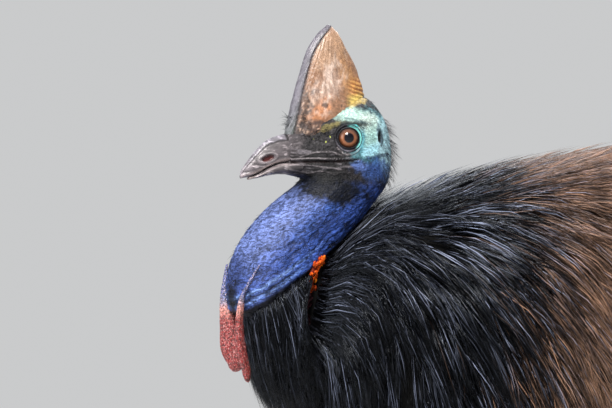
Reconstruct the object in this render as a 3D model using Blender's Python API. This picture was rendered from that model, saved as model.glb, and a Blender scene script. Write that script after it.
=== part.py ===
"""A southern cassowary standing still, life size, in metres.

The bird faces -Y, its left side is at +X, and its soles rest on the floor at z = 0. Its neck is
drawn in, so that the eye is level with the back and the bare neck bulges forward over the breast.
"""

import math

import bmesh
import bpy
import numpy as np
from mathutils import Vector

TAU = 2 * math.pi
SOLVER = "MANIFOLD"
GAP = 0.0003  # left between pieces that touch
SEAT_GAP = 0.0004  # left where the flesh of two pieces meets, a little more so that no two faces coincide
SUNK = 0.008  # how far a limb starts inside the one that it is cut from
UP = np.array([0.0, 0.0, 1.0])
ACROSS = np.array([1.0, 0.0, 0.0])
GOLDEN_TURN = math.pi * (3 - math.sqrt(5))
MOST_SHELL_FACTOR = 2.5
SIDES = {"left": 1, "right": -1}

# Head and bare neck as a ladder: each rung runs from the crown or nape down to the chin or throat.
# Columns: nape y, nape z, throat y, throat z, half width.
LADDER = [
    (-0.412, 1.046, -0.412, 0.9990, 0.0140),
    (-0.380, 1.066, -0.396, 0.9955, 0.0225),
    (-0.345, 1.082, -0.390, 0.9935, 0.0300),
    (-0.314, 1.090, -0.389, 0.9925, 0.0335),
    (-0.289, 1.066, -0.3895, 0.9915, 0.0350),
    (-0.2790, 1.030, -0.392, 0.9900, 0.0360),
    (-0.2830, 0.993, -0.403, 0.9825, 0.0375),
    (-0.3060, 0.962, -0.430, 0.9620, 0.0410),
    (-0.3380, 0.926, -0.459, 0.9330, 0.0450),
    (-0.3700, 0.890, -0.478, 0.8980, 0.0470),
    (-0.3880, 0.850, -0.482, 0.8600, 0.0460),
    (-0.3850, 0.815, -0.472, 0.8250, 0.0430),
]
LADDER_POWER = 2.15
HEAD_END, UPPER_NECK_END = 5.6, 8.0  # rungs where the head and the upper neck are parted off
NECK_SIDES = 20
HEAD_RINGS = 13
EYE_SIDES, EYE_RINGS = 16, 8

# Casque: a tall keeled helmet. Columns: height, front y, rear y, half thickness.
CASQUE = [
    (1.030, -0.4116, -0.3020, 0.0235),
    (1.048, -0.4116, -0.3050, 0.0230),
    (1.070, -0.4060, -0.3095, 0.0215),
    (1.107, -0.3963, -0.3165, 0.0168),
    (1.144, -0.3820, -0.3340, 0.0108),
    (1.161, -0.3695, -0.3450, 0.0070),
    (1.1716, -0.3590, -0.3545, 0.0018),
]

# Bill. Columns: y, top z, tomium z, half width for the upper bill, then lower edge and half width below.
UPPER_BILL = [
    (-0.4123, 1.0455, 1.0128, 0.0150),
    (-0.4240, 1.0428, 1.0112, 0.0135),
    (-0.4375, 1.0370, 1.0060, 0.0115),
    (-0.4500, 1.0262, 0.9995, 0.0090),
    (-0.4620, 1.0125, 0.9955, 0.0062),
    (-0.4700, 1.0020, 0.9940, 0.0022),
]
LOWER_BILL = [
    (-0.4123, 1.0125, 0.9990, 0.0136),
    (-0.4240, 1.0109, 0.9990, 0.0122),
    (-0.4375, 1.0057, 0.9972, 0.0100),
    (-0.4500, 0.9992, 0.9945, 0.0072),
    (-0.4600, 0.9955, 0.9930, 0.0030),
]
NOSTRIL = dict(y=-0.4400, z=1.0178, half_long=0.0075, half_high=0.0030, deep=0.0045, rise=0.32)

EYE_RADIUS = 0.0142
EYE_CENTRE = (0.0222, -0.3440, 1.0404)
EYE_TURN = math.radians(19)  # how far each eye looks forward of straight out
LID_RADIUS, LID_THICK = 0.0142, 0.0025
EYE_OPENING = 0.0118
EAR = dict(rung=4.32, around=math.radians(54.5), radius=0.0065, deep=0.0050)
GAPE = dict(front=-0.414, rear=-0.331, front_z=1.0127, rear_z=1.0165, open=0.0011, deep=0.0065, past=0.006)

# Torso: an egg along Y whose section is a rounded box. Columns: y, centre height, half width, half height.
TORSO_FRONT, TORSO_REAR = -0.410, 0.410
TORSO = [
    (-0.430, 0.805, 0.165, 0.190),
    (-0.190, 0.785, 0.180, 0.212),
    (-0.070, 0.789, 0.192, 0.215),
    (0.120, 0.813, 0.200, 0.215),
    (0.300, 0.820, 0.190, 0.215),
    (0.420, 0.800, 0.170, 0.215),
]
TORSO_POWER, TORSO_END_POWER = 2.3, 2.3
TORSO_SIDES, TORSO_RINGS = 20, 11
TORSO_MIDDLE, TORSO_HALF = (TORSO_FRONT + TORSO_REAR) / 2, (TORSO_REAR - TORSO_FRONT) / 2
RUFF_POINT = np.array([0, -0.2967, 0.9640])  # the plumage starts below the plane through this point of the nape
RUFF_OUT = np.array([0, -0.5507, 0.8347])
NECK_BASE = dict(middle=(0, -0.4250, 0.850), wide=0.047, deep=0.053, lean=0.55, bottom=0.75)

# Locks of plumage on the torso
LOCKS = 100
LOCK_STEPS = 3
LOCK_HALF_WIDTH, LOCK_THICK = 0.037, 0.0095
LOCK_LENGTH, RUMP_MORE, BELLY_LESS, BREAST_LESS = 0.210, 0.080, 0.085, 0.050
LOCK_TIP_HEIGHTS = (0.018, 0.038)
BREAST_FLATTER = 0.35
ROOT_DEPTH = 0.012
TORSO_SEED, THIGH_SEED = 14, 22
COLLAR_TURNS = (0, 24, -24, 84, -84, 112, -112, 138, -138, 162, -162)
THIGH_LOCKS, THIGH_SIDES = 15, 12
THIGH_LOCK_HALF_WIDTH, THIGH_LOCK_THICK = 0.022, 0.0065
BLEND = 0.010  # how softly the neck's base runs into the torso

# Wattles from the neck down. Columns: x on the left side, y, z, half width, half thickness.
WATTLES = {
    "left": [(0.0352, -0.4645, 0.8930, 0.0024, 0.0020), (0.0295, -0.4745, 0.8770, 0.0036, 0.0026),
             (0.0245, -0.4805, 0.8580, 0.0058, 0.0036), (0.0245, -0.4835, 0.8320, 0.0085, 0.0046),
             (0.0245, -0.4805, 0.8000, 0.0108, 0.0054), (0.0225, -0.4710, 0.7690, 0.0075, 0.0045)],
    "right": [(0.0290, -0.4735, 0.8930, 0.0024, 0.0020), (0.0270, -0.4775, 0.8770, 0.0040, 0.0028),
              (0.0235, -0.4785, 0.8580, 0.0066, 0.0038), (0.0210, -0.4765, 0.8320, 0.0100, 0.0046),
              (0.0200, -0.4715, 0.8000, 0.0122, 0.0054), (0.0185, -0.4655, 0.7790, 0.0088, 0.0048)],
}
WATTLE_RINGS, WATTLE_SIDES, WATTLE_END = 12, 10, 0.6  # the end bulges by this share of the last half width
WATTLE_TURNS = {"left": 48, "right": 40}  # degrees by which each flap's broad side is turned from the front

# Folds of bare skin down each side of the neck's base. Columns: rung, degrees from the nape, size.
CARUNCLES = [(8.60, 56.5, 0.0062), (8.95, 60.0, 0.0064), (9.33, 56.5, 0.0062), (9.62, 47.0, 0.0058),
             (9.95, 49.5, 0.0050)]
CARUNCLE_COUNT, CARUNCLE_STAND = 7, 0.0035
PARTING = dict(top=(0.042, -0.3800, 0.9100), low=(0.050, -0.4080, 0.8300), clear=0.040)

# Legs. Heights and places are for the left leg; the right one mirrors them and stands a little behind.
STANCE = {"left": -0.030, "right": 0.030}  # how far each foot stands from the middle, along Y
KNEE = (0.100, -0.010, 0.665)
CALF = (0.107, 0.105, 0.480)  # where the plumage of the thigh ends and the bare shank begins
ANKLE = (0.112, 0.142, 0.365)
FOOT = (0.118, 0.085, 0.030)
FOOT_RADIUS = 0.033
THIGH = [(0, 0.066), (0.35, 0.074), (0.7, 0.054), (1, 0.032)]  # share of the way down, mean radius
THIGH_SIDEWAYS, THIGH_BACKWARD, THIGH_BOW = 0.86, 1.1, 0.012
THIGH_LOCK_START, THIGH_LOCK_RANGE = 0.30, 0.42  # where locks root, as shares of the way down
SHANK = [(0, 0.0215, 0.0240), (0.4, 0.0190, 0.0215), (0.8, 0.0240, 0.0285), (1, 0.0220, 0.0260)]
TARSUS = [(0, 0.0240, 0.0270), (0.08, 0.0275, 0.0305), (0.28, 0.0175, 0.0200), (0.75, 0.0175, 0.0190),
          (1, 0.0270, 0.0240)]  # share of the way down, half width, half depth, as for the shank
SCUTES, SCUTE_LIFT, FIRST_SCUTE, LAST_SCUTE = 8, 0.0020, 0.13, 0.95
PAD = dict(high=0.058, widest=0.022, half_high=0.042, least=0.06)
TOES = {  # heading outwards, turn of the root about the pad, length, half width, height, claw length, claw rise
    "middle": (math.radians(0), math.radians(0), 0.150, 0.0155, 0.0285, 0.048, 0.002),
    "inner": (math.radians(-27), math.radians(-62), 0.088, 0.0135, 0.0260, 0.112, 0.004),
    "outer": (math.radians(30), math.radians(62), 0.108, 0.0130, 0.0245, 0.042, 0.002),
}
TOE_ROOT, TOE_TAPER, TOE_DEEP, TOE_SCUTES, TOE_SCUTE_LIFT = 0.62, 0.34, 0.62, 4, 0.0018
CLAW = dict(tall=0.66, wide=0.60, deep=0.46, narrows=0.75, tip=0.0022, clear=0.0004, last_ring=0.86)

# Wings: a stub on the flank with bare quills. Places are for the left wing.
WING_FRONT, WING_REAR = (0.186, -0.175, 0.885), (0.206, -0.065, 0.840)
WING = [(0, 0.009), (0.5, 0.016), (1, 0.009)]  # share of the way back, size
QUILLS, QUILL_LENGTH, QUILL_RADIUS, QUILL_STEPS = 4, 0.24, 0.0034, 4
QUILL_DROOP, QUILL_FAN, QUILL_CURL, QUILL_SPACING = math.radians(30), math.radians(7), math.radians(9), 0.007

FEATHER_BLACK = (0.012, 0.012, 0.015)
NECK_BLUE = (0.05, 0.10, 0.45)
SKIN_TEAL = (0.16, 0.38, 0.36)
WATTLE_RED = (0.55, 0.10, 0.09)
HORN_BROWN = (0.36, 0.22, 0.13)
BILL_GREY = (0.09, 0.08, 0.08)
EYE_AMBER = (0.35, 0.13, 0.04)
SCALE_GREY = (0.19, 0.18, 0.16)
CLAW_HORN = (0.07, 0.06, 0.05)


def unit(v):
    """v, or each row of v, with length 1."""
    v = np.asarray(v, float)
    return v / np.maximum(np.linalg.norm(v, axis=-1, keepdims=True), 1e-12)


def smooth(t, knots, values):
    """Reads, at t, the smooth curve that passes through the values at the knots."""
    t, knots, values = (np.asarray(a, float) for a in (t, knots, values))
    slopes = np.gradient(values, knots, axis=0)
    i = np.clip(np.searchsorted(knots, t, side="right") - 1, 0, len(knots) - 2)
    span = knots[i + 1] - knots[i]
    f = np.clip((t - knots[i]) / span, 0, 1)
    for _ in range(values.ndim - 1):
        f, span = f[..., None], span[..., None]
    start = (2 * f**3 - 3 * f**2 + 1) * values[i] + (f**3 - 2 * f**2 + f) * span * slopes[i]
    end = (3 * f**2 - 2 * f**3) * values[i + 1] + (f**3 - f**2) * span * slopes[i + 1]
    return start + end


def finish_of(name, colour, roughness, metallic=0.0):
    """A plain surface finish."""
    made = bpy.data.materials.new(name)
    made.use_nodes = True
    shader = made.node_tree.nodes["Principled BSDF"]
    shader.inputs["Base Color"].default_value = (*colour, 1)
    shader.inputs["Roughness"].default_value = roughness
    shader.inputs["Metallic"].default_value = metallic
    return made


def solid(name, points, faces, finish):
    """A mesh object from points and faces, with its faces turned outwards."""
    mesh = bpy.data.meshes.new(name)
    mesh.from_pydata([tuple(map(float, p)) for p in points], [], faces)
    work = bmesh.new()
    work.from_mesh(mesh)
    bmesh.ops.recalc_face_normals(work, faces=work.faces)
    if work.calc_volume(signed=True) < 0:
        bmesh.ops.reverse_faces(work, faces=work.faces)
    work.to_mesh(mesh)
    work.free()
    mesh.materials.append(finish)
    mesh.shade_smooth()
    mesh.set_sharp_from_angle(angle=math.radians(50))
    made = bpy.data.objects.new(name, mesh)
    bpy.context.scene.collection.objects.link(made)
    return made


def loft(name, rings, finish, first_tip=None, last_tip=None):
    """One closed body over rings of like count: quads between the rings and a fan over each end."""
    rings = np.asarray(rings, float)
    count, sides = rings.shape[:2]
    ends = [rings[0].mean(0) if first_tip is None else first_tip,
            rings[-1].mean(0) if last_tip is None else last_tip]
    points = np.vstack([rings.reshape(-1, 3), ends])
    first, last = count * sides, count * sides + 1
    faces = []
    for k in range(sides):
        nxt = (k + 1) % sides
        faces += [(r * sides + k, r * sides + nxt, (r + 1) * sides + nxt, (r + 1) * sides + k)
                  for r in range(count - 1)]
        faces += [(first, nxt, k), (last, first - sides + k, first - sides + nxt)]
    return solid(name, points, faces, finish)


def oval(centre, across, up, half_across, half_up, sides, power=2.0):
    """A ring of points on an oval, or on a rounder box where power is over 2."""
    turn = np.arange(sides) * TAU / sides
    bend = lambda v: np.sign(v) * np.abs(v) ** (2 / power)
    return (np.asarray(centre, float) + np.outer(bend(np.sin(turn)) * half_across, across)
            + np.outer(bend(np.cos(turn)) * half_up, up))


def combine(target, others, operation):
    """Applies one Boolean of all the others to the target, and removes the others."""
    group = bpy.data.collections.new("operands")
    bpy.context.scene.collection.children.link(group)
    for other in others:
        group.objects.link(other)
        bpy.context.scene.collection.objects.unlink(other)
    step = target.modifiers.new("Combine", "BOOLEAN")
    step.operation, step.solver = operation, SOLVER
    step.operand_type, step.collection = "COLLECTION", group
    bpy.context.view_layer.update()
    graph = bpy.context.evaluated_depsgraph_get()
    result = bpy.data.meshes.new_from_object(target.evaluated_get(graph))
    target.modifiers.clear()
    target.data = result
    for other in others:
        bpy.data.objects.remove(other)
    bpy.data.collections.remove(group)
    keep_largest(target)
    return target


def keep_largest(target):
    """Drops every closed surface of the mesh but the one that encloses the most."""
    work = bmesh.new()
    work.from_mesh(target.data)
    bmesh.ops.triangulate(work, faces=work.faces)
    unseen, shells = set(work.faces), []
    while unseen:
        shell, edge_of = [], [unseen.pop()]
        while edge_of:
            face = edge_of.pop()
            shell.append(face)
            for edge in face.edges:
                near = [f for f in edge.link_faces if f in unseen]
                unseen.difference_update(near)
                edge_of += near
        shells.append(shell)
    size = [abs(sum(f.verts[0].co.dot(f.verts[1].co.cross(f.verts[2].co)) for f in s)) for s in shells]
    for shell, volume in zip(shells, size):
        if volume < max(size):
            bmesh.ops.delete(work, geom=shell, context="FACES")
    loose = [v for v in work.verts if not v.link_faces]
    bmesh.ops.delete(work, geom=loose, context="VERTS")
    work.to_mesh(target.data)
    work.free()
    target.data.shade_smooth()
    target.data.set_sharp_from_angle(angle=math.radians(50))


def swollen(source, by):
    """A hidden-use copy of an object whose faces are moved outwards by a small distance."""
    copy = source.copy()
    copy.data = source.data.copy()
    bpy.context.scene.collection.objects.link(copy)
    work = bmesh.new()
    work.from_mesh(copy.data)
    work.normal_update()
    for vert in work.verts:
        vert.co += vert.normal * by * min(vert.calc_shell_factor(), MOST_SHELL_FACTOR)
    work.to_mesh(copy.data)
    work.free()
    return copy


def skin_ring(rung, sides, grow=0.0):
    """The section of head or neck at a place along the ladder, and the way that the neck leaves it."""
    knots = np.arange(len(LADDER))
    nape_y, nape_z, throat_y, throat_z, half_wide = smooth(rung, knots, LADDER)
    nape = np.array([0, nape_y, nape_z])
    throat = np.array([0, throat_y, throat_z])
    up = unit(nape - throat)
    half_deep = np.linalg.norm(nape - throat) / 2
    ring = oval((nape + throat) / 2, ACROSS, up, half_wide + grow, half_deep + grow, sides, LADDER_POWER)
    return ring, np.cross(up, ACROSS)


def skin_length(name, start, end, count, finish, grow=0.0):
    """A length of head or neck between two rungs. A length that follows another starts a gap behind it."""
    rings = []
    for rung in np.linspace(start, end, count):
        ring, onward = skin_ring(rung, NECK_SIDES, grow)
        rings.append(ring + onward * (GAP if rung == start and start > 0 else 0))
    return loft(name, rings, finish)


def skin_point(rung, around):
    """A point of the skin at a rung and a turn from the crown, and the normal there."""
    here = skin_at(rung, around)
    along = skin_at(rung + 0.02, around) - here
    round_it = skin_at(rung, around + 0.02) - here
    normal = unit(np.cross(along, round_it))
    return here, normal * np.sign(normal[0] * here[0])


def skin_at(rung, around):
    """The point of the skin at a rung and a turn from the crown."""
    nape_y, nape_z, throat_y, throat_z, half_wide = smooth(rung, np.arange(len(LADDER)), LADDER)
    nape = np.array([0, nape_y, nape_z])
    throat = np.array([0, throat_y, throat_z])
    bend = lambda v: np.sign(v) * abs(v) ** (2 / LADDER_POWER)
    return ((nape + throat) / 2 + ACROSS * bend(math.sin(around)) * half_wide
            + (nape - throat) / 2 * bend(math.cos(around)))


def eye_frame(side):
    """The eye's centre and the way that it looks."""
    x, y, z = EYE_CENTRE
    return (np.array([side * x, y, z]),
            np.array([side * math.cos(EYE_TURN), -math.sin(EYE_TURN), 0.03]))


def ball(name, centre, axis, radius, sides, rings, finish, stretch=1.0):
    """A sphere with its poles on the axis, or an egg where stretch isn't 1."""
    axis = unit(axis)
    across = unit(np.cross(UP if abs(axis[2]) < 0.9 else ACROSS, axis))
    up = np.cross(axis, across)
    centre = np.asarray(centre, float)
    made = [oval(centre - axis * radius * stretch * math.cos(t), across, up,
                 radius * math.sin(t), radius * math.sin(t), sides)
            for t in np.linspace(0, math.pi, rings + 2)[1:-1]]
    return loft(name, made, finish, centre - axis * radius * stretch, centre + axis * radius * stretch)


def turned(name, centre, axis, profile, sides, finish):
    """A body turned about the axis through a profile of (radius, distance along the axis)."""
    axis = unit(axis)
    across = unit(np.cross(UP, axis))
    up = np.cross(axis, across)
    centre = np.asarray(centre, float)
    rings = [oval(centre + axis * d, across, up, r, r, sides) for r, d in profile[1:-1]]
    return loft(name, rings, finish, centre + axis * profile[0][1], centre + axis * profile[-1][1])


def hoop(name, centre, axis, radius, thick, sides, section, finish, squash=1.0):
    """A ring of round section about an axis, flattened in height by squash."""
    axis = unit(axis)
    across = unit(np.cross(UP, axis))
    up = np.cross(axis, across)
    points, faces = [], []
    for i in range(sides):
        out = across * math.cos(i * TAU / sides) + up * math.sin(i * TAU / sides) * squash
        for j in range(section):
            turn = j * TAU / section
            points.append(centre + out * (radius + thick * math.cos(turn)) + axis * thick * math.sin(turn))
            a, b = i * section + j, i * section + (j + 1) % section
            c, d = (((i + 1) % sides) * section + (j + 1) % section, ((i + 1) % sides) * section + j)
            faces.append((a, b, c, d))
    return solid(name, points, faces, finish)


def head(finishes):
    """The skin of the head with lids, the line of the mouth, and sockets for the eyes and ears."""
    made = skin_length("head", 0, HEAD_END, HEAD_RINGS, finishes["skin"])
    lids, cuts = [], []
    for side in SIDES.values():
        centre, look = eye_frame(side)
        lid_centre = centre + unit(look) * EYE_RADIUS * 0.50
        lids.append(hoop("lid", lid_centre, look, LID_RADIUS, LID_THICK, 16, 5, finishes["skin"], 0.94))
        cuts.append(ball("socket", centre, look, EYE_RADIUS + GAP, EYE_SIDES, EYE_RINGS, finishes["skin"]))
        cuts.append(turned("opening", centre, look, [(0, 0), (EYE_OPENING, 0), (EYE_OPENING, 0.03),
                                                     (0, 0.03)], EYE_SIDES, finishes["skin"]))
        place, out = ear_frame(side)
        cuts.append(turned("ear_hole", place, out, [(0, 0.01), (EAR["radius"] + GAP, 0.01),
                    (EAR["radius"] + GAP, -EAR["deep"] - GAP), (0, -EAR["deep"] - GAP)], 12, finishes["skin"]))
        cuts.append(mouth_line(side, finishes["skin"]))
    combine(made, lids, "UNION")
    return combine(made, cuts, "DIFFERENCE")


def mouth_line(side, finish):
    """A thin wedge that cuts the line of the mouth from the bill back to the gape, under the eye."""
    rings = []
    for f in np.linspace(0, 1, 5):
        y = GAPE["front"] + f * (GAPE["rear"] - GAPE["front"])
        z = GAPE["front_z"] + f * (GAPE["rear_z"] - GAPE["front_z"])
        rung = smooth(y, [row[0] for row in LADDER[:4]], np.arange(4))
        half_wide = smooth(rung, np.arange(len(LADDER)), [row[4] for row in LADDER])
        inner, outer = side * (half_wide - GAPE["deep"]), side * (half_wide + GAPE["past"])
        rings.append([(inner, y, z), (outer, y, z + GAPE["open"]), (outer, y, z - GAPE["open"])])
    return loft("mouth", rings, finish)


def ear_frame(side):
    """The middle of the ear's opening on the skin, and the way out of it."""
    place, out = skin_point(EAR["rung"], side * EAR["around"])
    return place, out


def ear(name, side, finish):
    """The rim and shallow cup of an ear."""
    place, out = ear_frame(side)
    r, deep = EAR["radius"], EAR["deep"]
    profile = [(0, -deep * 0.7), (r * 0.45, -deep * 0.6), (r * 0.62, 0.0008), (r * 0.85, 0.0012),
               (r, 0.0), (r, -deep), (0, -deep)]
    return turned(name, place, out, profile, 12, finish)


def casque(finish):
    """The horn helmet: flat slices from its base to its tip, sharper along the front keel, seated on the skull."""
    heights = [row[0] for row in CASQUE]
    rings, sides = [], 18
    for z in heights[0] + (heights[-1] - heights[0]) * np.linspace(0, 1, 11) ** 0.85:
        front, rear, half_thick = smooth(z, heights, [row[1:] for row in CASQUE])
        turn = np.arange(sides) * TAU / sides
        long = np.cos(turn)
        thick = np.sign(np.sin(turn)) * np.abs(np.sin(turn)) ** 0.9 * (1 - 0.22 * np.maximum(-long, 0) ** 2)
        rings.append(np.stack([half_thick * thick, (front + rear) / 2 + long * (rear - front) / 2,
                               np.full(sides, z)], axis=1))
    made = loft("casque", rings, finish)
    seat = skin_length("seat", 0, HEAD_END, HEAD_RINGS, finish, GAP)
    return combine(made, [seat], "DIFFERENCE")


def bill(name, table, finish, ridge):
    """Half of the bill from its root to its tip. ridge sets how far the section narrows to its upper edge."""
    ys = [row[0] for row in table][::-1]
    rings, sides = [], 12
    for y in ys[0] + (ys[-1] - ys[0]) * np.linspace(0, 1, 9) ** 1.25:
        top, low, half_wide = smooth(y, ys, [row[1:] for row in table][::-1])
        turn = np.arange(sides) * TAU / sides
        lift = np.cos(turn)
        wide = half_wide * np.sign(np.sin(turn)) * np.abs(np.sin(turn)) ** 0.75 * (1 - ridge * (lift + 1) / 2)
        rings.append(np.stack([wide, np.full(sides, y), (top + low) / 2 + lift * (top - low) / 2], axis=1))
    return loft(name, rings, finish)


def upper_bill(finish):
    """The upper bill with a long nostril sunk in each side."""
    made = bill("bill_upper", UPPER_BILL, finish, 0.5)
    cuts = []
    along = unit([0, 1, NOSTRIL["rise"]])
    for side in SIDES.values():
        out = ACROSS * side
        up = np.cross(along, ACROSS)
        up = up * np.sign(up[2])
        middle = np.array([side * 0.0105, NOSTRIL["y"], NOSTRIL["z"]])
        rings = [oval(middle + out * d, along, up, NOSTRIL["half_long"], NOSTRIL["half_high"], 12)
                 for d in (-NOSTRIL["deep"], 0.01)]
        cuts.append(loft("nostril", rings, finish))
    return combine(made, cuts, "DIFFERENCE")


def torso_sizes(y):
    """Centre height, half width and half height of the torso at y, before its ends are rounded."""
    return smooth(y, [row[0] for row in TORSO], [row[1:] for row in TORSO])


def torso_core(name, finish, grow=0.0):
    """The body inside the plumage: an egg, larger all round by grow."""
    half = TORSO_HALF + grow
    rings = []
    for t in np.linspace(-1, 1, TORSO_RINGS + 2)[1:-1]:
        s = math.sin(t * math.pi / 2)
        y = TORSO_MIDDLE + half * s
        centre, half_wide, half_high = torso_sizes(y)
        end = (1 - abs(s) ** TORSO_END_POWER) ** (1 / TORSO_END_POWER)
        rings.append(oval((0, y, centre), ACROSS, UP, (half_wide + grow) * end, (half_high + grow) * end,
                          TORSO_SIDES, TORSO_POWER))
    tips = [np.array([0, TORSO_MIDDLE + half * s, torso_sizes(TORSO_MIDDLE + half * s)[0]]) for s in (-1, 1)]
    return loft(name, rings, finish, tips[0], tips[1])


def slice_off(target, point, out):
    """Cuts a mesh by a plane, drops what lies on the side that out points to, and closes the cut."""
    work = bmesh.new()
    work.from_mesh(target.data)
    everything = work.verts[:] + work.edges[:] + work.faces[:]
    bmesh.ops.bisect_plane(work, geom=everything, dist=1e-7, plane_co=Vector(point), plane_no=Vector(out),
                           clear_outer=True)
    rim = [edge for edge in work.edges if edge.is_boundary]
    bmesh.ops.contextual_create(work, geom=rim)
    bmesh.ops.recalc_face_normals(work, faces=work.faces)
    work.to_mesh(target.data)
    work.free()
    return target


def egg_gauge(p):
    """1 on the egg of the torso, less inside it and more outside."""
    centre, wide, high = torso_sizes(p[:, 1]).T
    section = np.abs(p[:, 0] / wide) ** TORSO_POWER + np.abs((p[:, 2] - centre) / high) ** TORSO_POWER
    along = np.abs(p[:, 1] - TORSO_MIDDLE) / TORSO_HALF
    return (section ** (TORSO_END_POWER / TORSO_POWER) + along ** TORSO_END_POWER) ** (1 / TORSO_END_POWER)


def neck_base_gauge(p):
    """1 on the oval column that stands for the feathered base of the neck, which leans back below its middle."""
    x, y, z = (p - np.array(NECK_BASE["middle"])).T
    y = y + np.minimum(z, 0) * NECK_BASE["lean"]
    return np.sqrt((x / NECK_BASE["wide"]) ** 2 + (y / NECK_BASE["deep"]) ** 2)


def height_over(gauge, p, step=1e-4):
    """Nearly the distance of each point from the surface where the gauge is 1, and the way out."""
    slope = np.stack([(gauge(p + step * axis) - gauge(p - step * axis)) / (2 * step) for axis in np.eye(3)], axis=1)
    size = np.maximum(np.linalg.norm(slope, axis=1), 1e-6)
    return (gauge(p) - 1) / size, slope / size[:, None]


def body_height(p):
    """Height of each point over the torso and the neck's base, run softly together, and the way out."""
    egg, egg_out = height_over(egg_gauge, p)
    base, base_out = height_over(neck_base_gauge, p)
    base = base + np.maximum(0, NECK_BASE["bottom"] - p[:, 2]) + np.maximum(0, (p - RUFF_POINT) @ RUFF_OUT)
    pull = np.stack([np.exp(-np.clip(egg, -0.1, 0.3) / BLEND), np.exp(-np.clip(base, -0.1, 0.3) / BLEND)])
    both = pull[0] + pull[1]
    return -BLEND * np.log(both), unit(egg_out * pull[0][:, None] + base_out * pull[1][:, None])


def lie(out):
    """The way that the plumage lies: back along the spine, ever steeper down the flanks and the breast."""
    upward, downward = np.clip(out[:, 2], 0, 1), np.clip(-out[:, 2], 0, 1)
    breast = np.clip(-out[:, 1], 0, 1) * (1 - upward)
    steep = math.radians(8) + math.radians(58) * (1 - upward) + math.radians(12) * downward
    steep += (math.radians(86) - steep) * breast
    way = np.stack([0.16 * np.sign(out[:, 0]) * upward, np.cos(steep), -np.sin(steep)], axis=1)
    return unit(way - out * (way * out).sum(1, keepdims=True))


def clear_of_parting(points, out):
    """Moves points sideways over the body until they are clear of the parting over the folds at each side."""
    side = np.where(points[:, :1] < 0, -1.0, 1.0) * ACROSS + (0, 1, 1)
    low, span = PARTING["low"] * side, np.subtract(PARTING["top"], PARTING["low"]) * side
    along = np.clip(((points - low) * span).sum(1) / (span**2).sum(1), 0, 1)[:, None]
    away = points - low - span * along
    far = np.linalg.norm(away, axis=1, keepdims=True)
    away = unit(away - out * (away * out).sum(1, keepdims=True))
    return points + away * np.clip(PARTING["clear"] - far, 0, None)


def comb(roots, lengths, tip_heights, sway):
    """Paths of locks over the body: each starts sunk at its root, follows the lie and rises to its tip.
    Locks on the under side hang free. Gives the points of each path and the ways out of them."""
    height, out = body_height(roots)
    point, face = roots - out * (height + ROOT_DEPTH)[:, None], out
    paths, faces = [point], [face]
    for k in range(1, LOCK_STEPS + 1):
        under = np.clip(-out[:, 2], 0, 1)[:, None]
        way = lie(out) - UP * under * 1.1 + np.cross(out, lie(out)) * sway[:, None]
        point = point + unit(way) * (lengths / LOCK_STEPS)[:, None]
        height, out = body_height(point)
        rise = tip_heights * (k / LOCK_STEPS) - height
        rise = np.where(out[:, 2] < -0.15, np.maximum(rise, 0), rise)
        point = clear_of_parting(point + out * rise[:, None], out)
        face = unit(face * 0.45 + out * 0.55)
        paths.append(point)
        faces.append(face)
    return np.stack(paths, axis=1), np.stack(faces, axis=1)


def lock(name, path, faces, half_wide, thick, finish, grow=0.0):
    """A flat tapered lock along a path: a low three-sided section that narrows to a point. With grow it is
    larger all round by that much or a little more, to cut its neighbours clear of it."""
    way = unit(np.gradient(path, axis=0))
    path = path - faces * grow * 1.5
    path[-1] += way[-1] * grow * 6
    half_wide, thick = half_wide + grow * 8, thick + grow * 4
    across = unit(np.cross(way, faces))
    up = np.cross(across, way)
    along = np.linspace(0, 1, len(path))[:-1]
    wide = half_wide * smooth(along, [0, 0.3, 0.6, 1], [0.75, 1.0, 0.85, 0.25])[:, None]
    tall = thick * smooth(along, [0, 0.3, 0.6, 1], [1.0, 1.0, 0.8, 0.4])[:, None]
    rings = np.stack([path[:-1] - across[:-1] * wide, path[:-1] + across[:-1] * wide,
                      path[:-1] + up[:-1] * tall], axis=1)
    return loft(name, rings, finish, last_tip=path[-1])


def torso_roots():
    """Roots of the torso's locks, spread evenly over the egg by the golden angle, and round the neck's base."""
    k = np.arange(LOCKS)
    s = 1 - 2 * (k + 0.5) / LOCKS
    y = TORSO_MIDDLE + TORSO_HALF * s
    centre, wide, high = torso_sizes(y).T
    end = (1 - np.abs(s) ** TORSO_END_POWER) ** (1 / TORSO_END_POWER)
    bend = lambda v: np.sign(v) * np.abs(v) ** (2 / TORSO_POWER)
    turn = k * GOLDEN_TURN
    egg = np.stack([bend(np.sin(turn)) * wide * end, y, centre + bend(np.cos(turn)) * high * end], axis=1)
    inside_neck = neck_base_gauge(egg) < 1.0
    inside_neck &= egg[:, 2] > NECK_BASE["bottom"]
    over_thigh = np.hypot(np.abs(egg[:, 0]) - KNEE[0], (egg[:, 1] - KNEE[1] - 0.02) * 0.8) < 0.075
    over_thigh &= egg[:, 2] < 0.72
    collar = []
    for around in np.radians(COLLAR_TURNS):
        line = np.array([skin_at(rung, around) for rung in np.linspace(UPPER_NECK_END - 1, len(LADDER) - 1, 40)])
        below = (RUFF_POINT - line) @ RUFF_OUT
        collar.append(line[np.argmax(below > 0.010)])
    return np.vstack([egg[~inside_neck & ~over_thigh], collar])


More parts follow.
